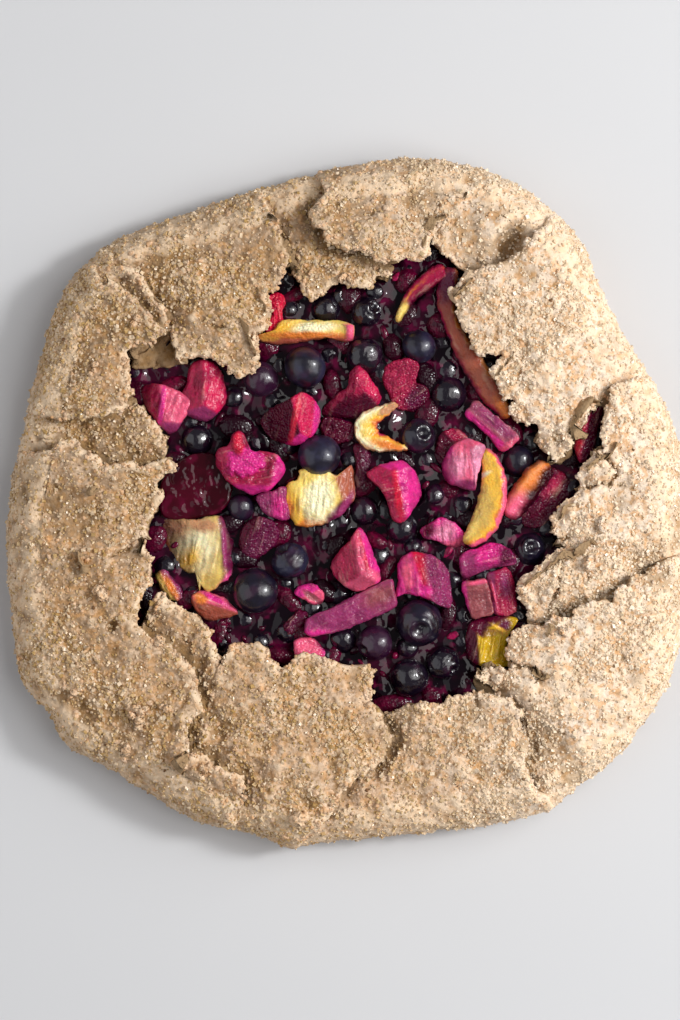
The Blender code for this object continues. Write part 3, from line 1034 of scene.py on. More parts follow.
DIMPLES = (
    Dimple(57, 89, 7, 4.0, 30, 6.5),
    Dimple(-76, 20.5, 11, 5.0, 110, 1.6),
    Dimple(-91, -69, 8, 3.6, 128, 3.4),
    Dimple(-78, -42, 1.8, 1.3, 60, 3.2),
    Dimple(103, -23, 10, 4, 120, 2.4),
    Dimple(-41, -77, 5, 3, 60, 2.4),
    Dimple(96, 5, 9, 5, 20, 1.2),
    Dimple(68, -83, 14, 6.5, 126, 2.4),
    Dimple(85, -55, 17, 5, 175, -1.3),
    Dimple(41, -72, 9, 5, 95, 1.3),
    Dimple(24, 104, 9, 4, 80, 1.2),
    Dimple(-60, 82, 9, 6, 60, 1.8),
    Dimple(-88, -5, 8, 6, 10, 1.6),
    Dimple(75, -95, 10, 3, 60, 1.4),
)


@dataclass
class Sheet:
    """The laid-out points of one flap's upper face, stations by rows, in metres."""

    skin: Points
    facing: Points
    bare: Points            # 1 where nothing covers it, 0 under a neighbour
    torn: Points            # 1 along its torn edge
    sugar: Points           # how thickly it was sugared, 0 to 1


@dataclass
class Crust:
    """The folded pastry: a closed sheet for each flap, and the disc under them."""

    grain: float = 0.56         # spacing of the points, millimetres
    dough: float = 3.3          # thickness of the pastry
    nose: float = 1.5           # radius of its torn edges
    bulge: float = 8.5          # height of the widest line
    top: float = 23.2           # height of the border
    shoulder: float = 13.0      # how far in from the rim the border is level
    border: float = 48.0        # usual length of a flap from there to its torn edge
    foot: float = 5.0           # how far the wall curves in under its widest line
    under: float = 12.0         # how far in from the rim a flap starts, on the table
    foot_rows: int = 4
    wall_rows: int = 17
    radius: float = 115.0       # about how far the rim lies from the middle
    degree: float = 1.9         # about how far one degree of bearing runs there
    gain: float = 1.45          # a lap's height over its seam's lift
    plateau: float = 2.5        # how far from the seam the upper flap stays at that height
    valley: float = 2.4         # how deep a lower flap dips beside its neighbour
    valley_reach: float = 6.0
    crease: float = 1.1         # how much deeper it dips right beside it
    crease_reach: float = 2.8
    sink: float = 3.2           # how deep it runs under its neighbour
    tuck: float = 9.0           # how far it runs on there
    waves: float = 1.3          # height of the pastry's broad waves
    humps: float = 1.05         # and of humps a third as wide
    lumps: float = 0.75         # and of the lumps on those
    pits: float = 0.6           # depth of its small pits
    disc_inset: float = 9.0     # how far in from the rim the disc underneath ends
    disc: tuple[float, float] = (0.3, 4.0)      # heights of its two faces
    shift: Points = field(init=False)   # from the tables' plan to the frame's, millimetres
    rim_bearings: Points = field(init=False)
    rim: Points = field(init=False)
    finish: bpy.types.Material = field(init=False)
    sheets: list[Sheet] = field(default_factory=list)
    crumble: Noise = field(default_factory=lambda: Noise(11))

    def __post_init__(self) -> None:
        """Fits the rim's curve to the frame's crust."""
        low, high = (np.array(corner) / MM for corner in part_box("crust"))
        line = through(np.array(RIM, dtype=float), True, 10)
        middle = (line.max(axis=0) + line.min(axis=0)) / 2
        spread = (high - low)[:2] / (line.max(axis=0) - line.min(axis=0))
        self.shift = (high + low)[:2] / 2 - middle
        line = (line - middle) * spread + middle
        bearings = np.degrees(np.arctan2(line[:, 0], line[:, 1])) % 360
        order = np.argsort(bearings)
        self.rim_bearings = bearings[order]
        self.rim = np.hypot(line[:, 0], line[:, 1])[order]

    def reach(self, bearings: Points) -> Points:
        """The rim's distance from the middle at bearings."""
        return np.interp(bearings % 360, self.rim_bearings, self.rim, period=360)

    def side(
        self, corners: Sequence[tuple[float, float]], insets: Points, shares: Points, tucked: float
    ) -> tuple[Points, Points]:
        """One side of a flap.

        Args:
            corners: The line along it, from the rim inwards.
            insets: Distances in from the rim of the wall's rows.
            shares: Places of the border's rows, 0 at the shoulder to 1 at the torn edge.
            tucked: How far clockwise the side is moved, under the neighbour.

        Returns:
            A bearing for each wall row and a plan point for each border row.
        """
        line = np.array(corners, dtype=float)
        gone = runs(line)
        line = at_runs(np.linspace(0.0, gone[-1], 1 + int(gone[-1] / 0.5)), gone, line)
        bearing = np.degrees(np.unwrap(np.arctan2(line[:, 0], line[:, 1])))
        depth = self.reach(bearing) - np.hypot(line[:, 0], line[:, 1])
        first = int(np.argmax(depth >= self.shoulder))
        wall = np.interp(insets, np.maximum.accumulate(depth[:first + 1]), bearing[:first + 1])
        wall = wall + tucked / self.degree
        run = runs(line[first:])
        border = at_runs(shares * run[-1], run, line[first:])
        outward = border / np.linalg.norm(border, axis=1, keepdims=True)
        clockwise = np.stack([outward[:, 1], -outward[:, 0]], axis=-1)
        border = border + clockwise * tucked + outward * (abs(tucked) * 0.5 * shares[:, None] ** 2)
        return wall, border

    def spaced(self, length: float, fine_start: bool, fine_end: bool) -> Points:
        """Shares from 0 to 1 a grain apart, closer together at a torn end.

        Args:
            length: The length that is shared out, in millimetres.
            fine_start: Whether its start is torn.
            fine_end: Whether its end is torn.

        Returns:
            The shares.
        """
        close = np.array([0.0, 0.12, 0.38, 0.8, 1.4])
        middle = np.linspace(0.0, 1.0, max(int(length / self.grain), 8))
        places = middle * length
        keep = np.ones(len(places), dtype=bool)
        if fine_start:
            keep &= places > close[-1] + 0.3
        if fine_end:
            keep &= places < length - close[-1] - 0.3
        places = places[keep]
        if fine_start:
            places = np.concatenate([close, places])
        if fine_end:
            places = np.concatenate([places, length - close[::-1]])
        return places / length

    def lay(self, start: Seam, flap: Flap, end: Seam) -> None:
        """Lays out one flap between its two seams, and builds it.

        Args:
            start: The seam that it starts at, going round clockwise.
            flap: The flap.
            end: The seam that it ends at.
        """
        over_start = start.over is Side.AFTER
        over_end = end.over is Side.BEFORE
        angle = np.linspace(0, math.pi / 2, self.foot_rows + 1)[1:]
        climb = np.linspace(0, math.pi / 2, self.wall_rows + 1)[1:]
        insets = np.concatenate([
            [self.under, self.foot], self.foot * (1 - np.sin(angle)),
            self.shoulder * (1 - np.cos(climb))])
        wall_height = np.concatenate([
            [0.0, 0.0], self.bulge * (1 - np.cos(angle)),
            self.bulge + (self.top - self.bulge) * np.sin(climb)])
        shares = self.spaced(self.border, False, True)[1:]
        kept = len(start.corners) + min(flap.turn, 0)
        first = (*start.corners[:kept], *flap.edge[:max(flap.turn, 0)])
        torn_edge = (*start.corners[kept:], *flap.edge[max(flap.turn, 0):])
        wall_0, side_0 = self.side(first, insets, shares, 0.0 if over_start else -self.tuck)
        last = end.hidden if end.hidden and not over_end else end.corners
        tucked = 0.0 if over_end or end.hidden else self.tuck
        wall_1, side_1 = self.side(last, insets, shares, tucked)
        wall_1 = wall_1 + 360 * np.round((wall_0.mean() + 20 - wall_1.mean()) / 360)
        edge = np.vstack([side_0[-1:], np.array(torn_edge, dtype=float), side_1[-1:]])
        run = runs(edge)
        rim_run = math.radians(wall_1[-1] - wall_0[-1]) * self.radius
        across = self.spaced(max(run[-1], rim_run), over_start, over_end)
        tips = at_runs(across * run[-1], run, edge)
        bearing = wall_0 + (wall_1 - wall_0) * across[:, None]
        distance = self.reach(bearing) - insets
        wall = np.stack([distance * np.sin(np.radians(bearing)),
                         distance * np.cos(np.radians(bearing))], axis=-1)
        base = wall[:, -1]
        for line, start_at in ((side_0, base[0]), (side_1, base[-1])):
            line += (start_at - line[0]) * (np.maximum(1 - shares / 0.3, 0.0) ** 2)[:, None]
        u, v = across[:, None, None], shares[None, :, None]
        border = base[:, None] * (1 - v) + tips[:, None] * v
        border = border + (1 - u) * (side_0 - (base[0] * (1 - v[0]) + tips[0] * v[0]))
        border = border + u * (side_1 - (base[-1] * (1 - v[0]) + tips[-1] * v[0]))
        plan = np.concatenate([wall, border], axis=1)
        crest = 0.9 * np.sin(math.pi * shares) - 1.3 * shares ** 3
        height = np.concatenate([wall_height, self.top + crest])
        places = np.concatenate([plan, np.broadcast_to(
            height[None, :, None], (*plan.shape[:2], 1))], axis=-1)
        self.dress(places, insets, shares, (start, flap, end), (over_start, over_end))

    def dress(
        self, places: Points, insets: Points, shares: Points,
        names: tuple[Seam, Flap, Seam], over: tuple[bool, bool]
    ) -> None:
        """Lifts a flap over its neighbours, roughens it and makes its mesh.

        Args:
            places: Its smooth upper face, stations by rows, in millimetres.
            insets: Distances in from the rim of the wall's rows.
            shares: Places of the border's rows.
            names: The seam before it, the flap and the seam after it.
            over: Whether it lies over each neighbour.
        """
        start, flap, end = names
        rows = places.shape[1]
        plan = places[..., :2].reshape(-1, 2)
        outness = np.concatenate([insets * 0, shares])
        inset = np.concatenate([np.where(np.arange(len(insets)) < 2, 0.0, insets),
                                np.full(len(shares), self.shoulder)])
        inset[2:2 + self.foot_rows] = 0.0
        soft = ease(-3.0, self.shoulder * 1.05, inset) * (0.75 + 0.25 * ease(0.0, 0.3, outness))
        soft = np.broadcast_to(soft, places.shape[:2])
        lift = np.zeros(places.shape[:2])
        bare = np.ones(places.shape[:2])
        fold = np.zeros(places.shape[:2])
        edge = (*start.corners[-1:], *flap.edge, *end.corners[-1:])
        torn_by = np.abs(Line(edge).measure(plan)[0]).reshape(lift.shape)
        for seam, on_top in ((start, over[0]), (end, over[1])):
            away = Line(seam.corners).measure(plan)[0].reshape(lift.shape)
            if on_top:
                away = np.abs(away)
                beyond = np.maximum(away - self.plateau, 0.0)
                lift += self.gain * seam.lift * soft * np.exp(-beyond / seam.reach)
                torn_by = np.minimum(torn_by, away)
            else:
                beyond = away * (1 if seam.over is Side.AFTER else -1)
                short = np.maximum(-beyond, 0.0)
                valley = np.exp(-(short / self.valley_reach) ** 2)
                crease = np.exp(-(short / self.crease_reach) ** 2) * soft
                lift -= self.valley * valley * soft + self.crease * crease
                lift -= self.sink * ease(0.5, 7.0, beyond) * (0.35 + 0.65 * soft)
                bare *= ease(1.5, -0.5, beyond)
                fold = np.maximum(fold, crease)
        spot = places * MM
        stray = np.stack([self.crumble.rough(spot + k, 4.6 * MM, 2) for k in (0.31, 0.62)], -1)
        frayed = ease(5.0, 0.5, torn_by) * after_row(rows, len(insets))
        places[..., :2] += stray * frayed[..., None]
        swell = self.waves * self.crumble.rough(spot, 30 * MM, 2)
        swell = swell + self.humps * self.crumble.rough(spot + 0.2, 10 * MM, 3)
        relief = self.relief(places[..., :2].reshape(-1, 2)).reshape(lift.shape)
        top = after_row(rows, 2 + self.foot_rows)
        shove = (lift + flap.rise * soft + soft * (swell + relief)) * top
        normal = grid_normals(places)
        smooth = places + normal * shove[..., None] * (1 - soft[..., None])
        smooth[..., 2] = smooth[..., 2] + shove * soft
        nosed = np.clip(self.nose - torn_by, 0.0, self.nose)
        drop = self.nose - np.sqrt(np.maximum(self.nose ** 2 - nosed ** 2, 0.0))
        normal = grid_normals(smooth)
        under = smooth - normal * self.dough
        upper = smooth - normal * drop[..., None]
        facing = grid_normals(upper)
        spot = upper * MM
        torn = ease(3.6, 1.2, torn_by + 1.2 * self.crumble.at(spot, 4 * MM))
        sugar = ease(-0.25, 0.4, self.crumble.rough(spot + 2.3, 22 * MM, 3, 0.6))
        fine = (0.15 + 0.18 * sugar) * self.crumble.rough(spot + 0.7, 2.4 * MM, 3, 0.6)
        lumps = self.lumps * self.crumble.rough(spot + 0.9, 5.5 * MM, 2)
        pits = -self.pits * ease(0.6, 1.0, self.crumble.rough(spot + 1.7, 4.0 * MM, 2))
        grit = (fine + lumps + pits * (1 - torn)) * top
        upper = upper + facing * grit[..., None]
        upper[..., 2] = np.maximum(upper[..., 2], 0.0)
        under[..., 2] = np.maximum(under[..., 2], 0.2)
        rise = (upper[..., 2] - blurred(upper[..., 2])) * top
        broad = (swell + relief) / 1.5
        # painted shade: darkens small hollows, low swells, creases beside laps and parts under a
        # neighbour
        hollow = np.maximum.reduce([
            np.clip(-rise / 0.55, 0.0, 1.0), 0.6 * np.clip(-broad, 0.0, 1.0), 0.8 * fold,
            1 - bare])
        # painted highlight: lightens raised points and broad high swells
        ridge_highlight = np.maximum(np.clip(rise / 0.6, 0.0, 1.0), 0.6 * np.clip(broad, 0.0, 1.0))
        upper[..., :2] += self.shift
        under[..., :2] += self.shift
        self.sheets.append(Sheet(upper * MM, facing, bare * top, torn, sugar))
        marks = {"torn": torn, "hollow": hollow, "ridge_highlight": ridge_highlight, "sugar": sugar}
        self.make(flap.name, upper, under, marks)

    def relief(self, plan: Points) -> Points:
        """Height added by cracks and dimples at plan points, in millimetres."""
        spot = np.column_stack([plan, np.zeros(len(plan))]) * MM
        stray = np.stack([self.crumble.rough(spot + k, 2.6 * MM, 2) for k in (0.1, 0.5)], axis=-1)
        strayed = plan + 0.7 * stray
        height = np.zeros(len(plan))
        for crack in CRACKS:
            away, share = crack.line.measure(strayed)
            ends = ease(0.0, 0.25, share + 0.05) * ease(0.0, 0.25, 1.05 - share)
            height -= ends * crack.depth * np.exp(-(away / crack.width) ** 2)
        for dimple in DIMPLES:
            along, side = turned(plan - (dimple.x, dimple.y), dimple.bearing)
            away = (along / dimple.half_length) ** 2 + (side / dimple.half_width) ** 2
            height -= dimple.depth * np.exp(-away ** 1.5)
        return height

    def make(self, name: str, upper: Points, under: Points, marks: dict[str, Points]) -> None:
        """Makes a flap's closed mesh.

        Args:
            name: The flap's name.
            upper: Its upper face, stations by rows, in millimetres.
            under: Its under face, likewise.
            marks: What its finish reads, one number for each point of the upper face.
        """
        stations, rows, _ = upper.shape
        mesh = started(bmesh.ops.create_grid, x_segments=rows - 1, y_segments=stations - 1,
                       size=0.5)
        grown = bmesh.ops.extrude_face_region(mesh, geom=mesh.faces[:])["geom"]
        bmesh.ops.translate(mesh, verts=grown_verts(grown), vec=(0.0, 0.0, -1.0))
        bmesh.ops.recalc_face_normals(mesh, faces=mesh.faces)
        data = bpy.data.meshes.new("crust_" + name)
        mesh.to_mesh(data)
        mesh.free()
        flat = np.empty(3 * len(data.vertices))
        data.vertices.foreach_get("co", flat)
        flat = flat.reshape(-1, 3)
        row = np.rint((flat[:, 0] + 0.5) * (rows - 1)).astype(int)
        station = np.rint((flat[:, 1] + 0.5) * (stations - 1)).astype(int)
        below = flat[:, 2] < -0.5
        places = np.where(below[:, None], under[station, row], upper[station, row]) * MM
        data.vertices.foreach_set("co", places.ravel())
        # painted shade: darker towards the left, away from the window light, in broad patches
        marks["shade"] = ease(60.0, -70.0, upper[..., 0] - 0.4 * upper[..., 1]) * (
            0.75 + 0.4 * self.crumble.rough(upper * MM, 26 * MM, 2))
        for key, values in marks.items():
            mark_data(data, key, np.where(below, 1.0, values[station, row]))
        put_data("crust_" + name, data, self.finish, Slot.CRUST, ["crust"])

    def build(self) -> None:
        """Builds every flap and the disc that closes the case underneath."""
        self.finish = PastryFinish().material()
        for place, (seam, flap) in enumerate(FOLDS):
            self.lay(seam, flap, FOLDS[(place + 1) % len(FOLDS)][0])
        base = started(bmesh.ops.create_circle, cap_ends=True, segments=96, radius=1.0)
        for vert in base.verts:
            turn = math.atan2(vert.co.x, vert.co.y)
            reach = float(self.reach(np.array([math.degrees(turn)]))[0]) - self.disc_inset
            vert.co = (reach * MM * math.sin(turn) + self.shift[0] * MM,
                       reach * MM * math.cos(turn) + self.shift[1] * MM, self.disc[0] * MM)
        grown = bmesh.ops.extrude_face_region(base, geom=base.faces[:])["geom"]
        for vert in grown_verts(grown):
            vert.co.z = self.disc[1] * MM
        bmesh.ops.recalc_face_normals(base, faces=base.faces)
        put_piece("crust_floor", base, self.finish, Slot.CRUST, ["crust"])

    def pick_spots(
        self, rng: np.random.Generator, count: int, wall: float, edge: float, clumped: float
    ) -> tuple[Points, Points]:
        """Random places on the crust's outside.

        Args:
            rng: The random source.
            count: How many places.
            wall: How likely the side wall's places are kept, 0 to 1.
            edge: How many times likelier the torn edges are.
            clumped: How far the places keep to the sugared patches, 0 to 1.

        Returns:
            Places and normals, each (n, 3).
        """
        pools = []
        for sheet in self.sheets:
            along = np.diff(sheet.skin, axis=0)[:, :-1]
            side = np.diff(sheet.skin, axis=1)[:-1]
            area = np.linalg.norm(np.cross(along, side), axis=-1)
            lean = ease(0.1, 0.6, sheet.facing[:-1, :-1, 2])
            weight = area * sheet.bare[:-1, :-1] * (wall + (1 - wall) * lean)
            weight *= 1 + (edge - 1) * sheet.torn[:-1, :-1]
            weight *= 1 - clumped + clumped * sheet.sugar[:-1, :-1]
            flat = (part.reshape(-1, 3) for part in (
                sheet.skin[:-1, :-1], along, side, sheet.facing[:-1, :-1]))
            pools.append((weight.ravel(), *flat))
        weight, corner, along, side, facing = (np.concatenate(part) for part in zip(*pools))
        chosen = rng.choice(len(weight), count, p=weight / weight.sum())
        share = rng.random((count, 2, 1))
        places = corner[chosen] + along[chosen] * share[:, 0] + side[chosen] * share[:, 1]
        return places, facing[chosen]


def after_row(rows: int, first: int) -> Points:
    """Weights of shape (1, rows) that rise to 1 over the four rows up to the first."""
    return np.clip((np.arange(rows) - first + 4) / 4, 0.0, 1.0)[None, :]


def grid_normals(places: Points) -> Points:
    """Unit normals of a stations by rows grid, upwards on the border."""
    round_way = np.gradient(places, axis=0)
    inward = np.gradient(places, axis=1)
    normal = np.cross(inward, round_way)
    return normal / (np.linalg.norm(normal, axis=-1, keepdims=True) + 1e-9)


def blurred(values: Points) -> Points:
    """The mean of a grid's values around each of its points."""
    total = values.copy()
    for step in (1, 2, 4, 8):
        wide = np.pad(values, step, mode="edge")
        total = total + (wide[:-2 * step, step:-step] + wide[2 * step:, step:-step]
                         + wide[step:-step, :-2 * step] + wide[step:-step, 2 * step:]) / 4
    return total / 5


@dataclass(frozen=True)
class Topping:
    """A kind of grain strewn on the crust."""

    name: str
    finish: PastryFinish | SugarFinish | CrumbFinish
    count: int
    size: tuple[float, float]   # smallest and largest, millimetres
    flatness: float             # a grain's thickness over its width
    sunk: float                 # how deep it sits, as a share of its size
    wall: float                 # how much of it is on the side wall
    seed: int
    edge: float = 0.5           # how many times likelier it is on a torn edge
    clumped: float = 0.85       # how far it keeps to the sugared patches
    round: bool = False         # a rounded grain, and not an angular one

    def build(self, crust: Crust) -> None:
        """Strews the grains."""
        rng = np.random.default_rng(self.seed)
        places, facing = crust.pick_spots(rng, self.count, self.wall, self.edge, self.clumped)
        spread = rng.random(self.count) ** 1.8
        width = (self.size[0] + (self.size[1] - self.size[0]) * spread) * MM
        sizes = width[:, None] * rng.uniform((0.75, 0.6, self.flatness), (1.1, 1.0, 1.0),
                                             (self.count, 3))
        places = places + facing * (width * (0.5 - self.sunk))[:, None]
        grain = ball(2) if self.round else started(bmesh.ops.create_cube, size=1.0)
        jitter = 0.12 if self.round else 0.16
        data = scatter(self.name, grain, places, sizes, self.seed + 1, jitter)
        piece = put_data(self.name, data, self.finish.material(), Slot.CRUST, ["crust"])
        if not self.round:
            piece.data.shade_flat()


@dataclass(frozen=True)
class Clump:
    """Lumps of dough that broke off and baked on where they fell."""

    x: float
    y: float
    spread: float               # how far they lie from its middle, millimetres
    count: int
    size: float


CLUMPS = (
    Clump(-70.0, -72.5, 4.2, 9, 3.2), Clump(-73.5, -84.0, 1.8, 3, 3.0),
    Clump(-62.5, -47.5, 1.4, 3, 3.4), Clump(-82.5, -31.0, 1.2, 2, 4.6),
    Clump(-15.5, -107.5, 0.3, 1, 5.4), Clump(-110.0, -53.5, 0.8, 2, 2.6),
    Clump(-54.5, -88.5, 1.6, 4, 3.4), Clump(-47.0, -92.0, 3.0, 5, 2.6),
    Clump(-36.0, -84.0, 1.0, 2, 2.4), Clump(-92.0, -66.0, 1.2, 2, 2.8),
    Clump(-60.0, -70.0, 1.5, 3, 2.6), Clump(84.0, -21.0, 1.5, 3, 4.2),
    Clump(60.0, -30.0, 1.4, 2, 3.4), Clump(74.0, -44.0, 2.2, 3, 3.0),
    Clump(52.0, -60.0, 1.8, 4, 3.0), Clump(88.0, -8.0, 2.0, 3, 3.0),
    Clump(-20.0, 78.0, 1.4, 3, 3.0), Clump(0.0, 76.0, 2.0, 3, 2.8),
    Clump(-70.0, 62.0, 2.4, 4, 2.6), Clump(-84.0, 44.0, 2.0, 3, 2.4),
)


def strew_clumps(crust: Crust) -> None:
    """Builds every clump's lumps as one mesh."""
    rng = np.random.default_rng(81)
    close = 1.2 * MM
    skin = np.concatenate([sheet.skin.reshape(-1, 3) for sheet in crust.sheets])
    spots, sizes = [], []
    for clump in CLUMPS:
        for _ in range(clump.count):
            middle = np.array([clump.x, clump.y]) + crust.shift
            spot = (middle + rng.normal(0, clump.spread / 2, 2)) * MM
            near = skin[np.hypot(*(skin[:, :2] - spot).T) < close]
            if len(near):
                width = clump.size * rng.uniform(0.8, 1.25) * MM
                spots.append((*spot, near[:, 2].max() + 0.12 * width))
                sizes.append(width * rng.uniform((0.8, 0.7, 0.55), (1.15, 1.0, 0.75)))
    data = scatter("dough_clumps", ball(3), np.array(spots), np.array(sizes), 82, 0.13)
    finish = PastryFinish("clump_pastry", tan=(0.78, 0.54, 0.33), plain=(0.80, 0.60, 0.42),
                          golden=(0.66, 0.42, 0.16))
    put_data("dough_clumps", data, finish.material(), Slot.CRUST, ["crust"])


TOPPINGS = (
    Topping("sugar_coarse", SugarFinish(), 7500, (0.7, 1.4), 0.6, 0.42, 0.3, 21, 0.5, 0.75),
    Topping("sugar_fine", SugarFinish("fine_sugar"), 13000, (0.45, 0.85), 0.6, 0.4, 0.45, 31, 0.8,
            0.5),
    Topping("bran_crumbs", CrumbFinish(), 1300, (0.5, 1.5), 0.5, 0.45, 0.5, 41, 1.0, 0.3, True),
    Topping("edge_crumbs", PastryFinish("crumb_pastry"), 2000, (0.8, 2.1), 0.6, 0.56, 0.2, 51,
            30.0, 0.0, True),
    Topping("dough_lumps", PastryFinish("lump_pastry"), 380, (1.6, 3.6), 0.4, 0.68, 0.4, 71,
            1.0, 0.4, True),
)


# ---- fruit --------------------------------------------------------------------------


class BerryLook(Enum):
    """How a blueberry came out of the oven."""

    DUSTY = BerryFinish("berry_dusty", (0.006, 0.004, 0.012), (0.023, 0.022, 0.062), 0.65, 0.35)
    DARK = BerryFinish("berry_dark", (0.005, 0.0025, 0.008), (0.014, 0.011, 0.036), 0.4, 0.6)
    WET = BerryFinish("berry_wet", (0.005, 0.002, 0.007), (0.014, 0.008, 0.018), 0.25, 1.0)
    PURPLE = BerryFinish("berry_purple", (0.024, 0.004, 0.020), (0.055, 0.026, 0.05), 0.5, 0.6)


class Tone(Enum):
    """Colours of cooked fruit, the juice's stain included, and painted light and shade of facets.
    """

    CORAL = (0.82, 0.11, 0.22)
    MAGENTA = (0.75, 0.028, 0.26)
    RED = (0.66, 0.012, 0.05)
    CRIMSON = (0.40, 0.014, 0.065)
    WINE = (0.09, 0.001, 0.018)
    INK = (0.022, 0.0005, 0.006)
    ROSE = (0.31, 0.034, 0.13)
    PALE = (0.40, 0.12, 0.14)
    BLUSH = (0.85, 0.28, 0.44)
    CREAM = (1.0, 0.93, 0.60)
    YELLOW = (0.90, 0.64, 0.15)
    STRAW = (0.70, 0.45, 0.11)
    GOLD = (0.95, 0.53, 0.06)
    ORANGE = (0.80, 0.23, 0.04)
    TAN = (0.60, 0.29, 0.14)
    SKIN = (0.34, 0.075, 0.045)
    RUST = (0.42, 0.11, 0.06)
    PLUM = (0.13, 0.007, 0.045)
    MUSTARD = (0.62, 0.38, 0.012)
    HOT = (0.62, 0.012, 0.085)
    MAROON = (0.035, 0.0005, 0.004)
    MAUVE = (0.31, 0.075, 0.085)


STAIN_AND_SHADE_LEVEL = 16.0          # height from which juice stain and painted shade reach up the fruit, millimetres
SOAKED = (16.8, 15.0)       # heights between which it turns to the juice's own colour
FACE_END = 0.72             # share of a cut piece's sphere that makes its upper face
WALL_END = 0.86             # share where its side ends and its underside starts


@dataclass(frozen=True)
class Facet:
    """A plane of a cut piece's upper side; the lowest plane shows."""

    x: float
    y: float
    down: float             # how far below the piece's top it lies at x, y
    lean: float             # its slope, in degrees
    toward: float           # bearing that it slopes down to
    # its colour, which on many facets holds painted light towards the window and painted shade away
    # from it
    tone: Tone
    wet: float = 0.2


@dataclass(frozen=True)
class Spot:
    """An ellipse on a piece with its own height and colour."""

    x: float
    y: float
    half_length: float
    half_width: float
    bearing: float
    rise: float
    tone: Tone
    wet: float = 0.2
    soft: float = 0.3       # how gradually it fades, as a share of its size

    def share(self, plan: Points, stray: Points) -> Points:
        """How far plan points belong to the spot, 0 to 1."""
        along, side = turned(plan - (self.x, self.y), self.bearing)
        away = np.hypot(along / self.half_length, side / self.half_width)
        return ease(1 + self.soft, 1 - self.soft, away + 0.25 * stray)


def spread_spots(spots: Sequence[Spot], plan: Points, stray: Points, height: Points,
                 wet: Points, tints: Points) -> None:
    """Adds spots to a piece, by changing its arrays in place.

    Args:
        spots: The spots.
        plan: Plan points of the piece.
        stray: Noise at each, which makes the spots' edges uneven.
        height: The height at each.
        wet: How wet each is.
        tints: The colour at each.
    """
    for spot in spots:
        here = spot.share(plan, stray)
        height += spot.rise * here
        wet += (spot.wet - wet) * here
        tints += (np.array(spot.tone.value) - tints) * here[:, None]


@dataclass(frozen=True)
class Morsel:
    """What every cut piece has; its own middle and heights come from the frame."""

    node: str
    slot: Slot
    label: str = field(default="", kw_only=True)    # the mesh's name where several share a node

    def top(self) -> float:
        """Height of the frame node's top, in millimetres."""
        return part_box(self.node)[1][2] / MM

    def put(self, mesh: bmesh.types.BMesh, places: Points, tints: Points, wet: Points,
            fibre: Points, shift: Points, finish: bpy.types.Material) -> None:
        """Moves the mesh's vertices, stores what the finish reads and links the piece.

        Args:
            mesh: The mesh, freed here.
            places: Its vertices' places on the tables' plan, in millimetres.
            tints: Their colours.
            wet: How wet each is, 0 to 1.
            fibre: Where each lies in the fibres' grooves and ridges, about 0 to 1.
            shift: From the tables' plan to the frame's.
            finish: The material.
        """
        places = places + (*shift, 0.0)
        move_verts(mesh, places * MM)
        paint_verts(mesh, "wet", wet)
        paint_verts(mesh, "fibre", fibre)
        # juice stain and painted shade: 'low' darkens each piece towards its lower side, up to 1.5
        # mm under its top
        reach = max(self.top() - STAIN_AND_SHADE_LEVEL - 1.5, 0.6)
        low = 0.75 * ease(reach, 0.0, places[:, 2] - STAIN_AND_SHADE_LEVEL) ** 2
        paint_verts(mesh, "low", np.maximum(low, ease(*SOAKED, places[:, 2])))
        layer = mesh.verts.layers.float_color.new("tint")
        for vert, tint in zip(mesh.verts, tints):
            vert[layer] = (*tint, 1.0)
        bmesh.ops.recalc_face_normals(mesh, faces=mesh.faces)
        put_piece(self.label or self.node + "_cut", mesh, finish, self.slot, [self.node])


def strands(noise: Noise, plan: Points, bearing: float, size: float) -> Points:
    """Noise drawn out along a bearing, like fibres."""
    along, side = turned(plan, bearing)
    return noise.rough(np.stack([0.14 * along, side, 0 * side], axis=-1) * MM, size * MM, 3, 0.6)


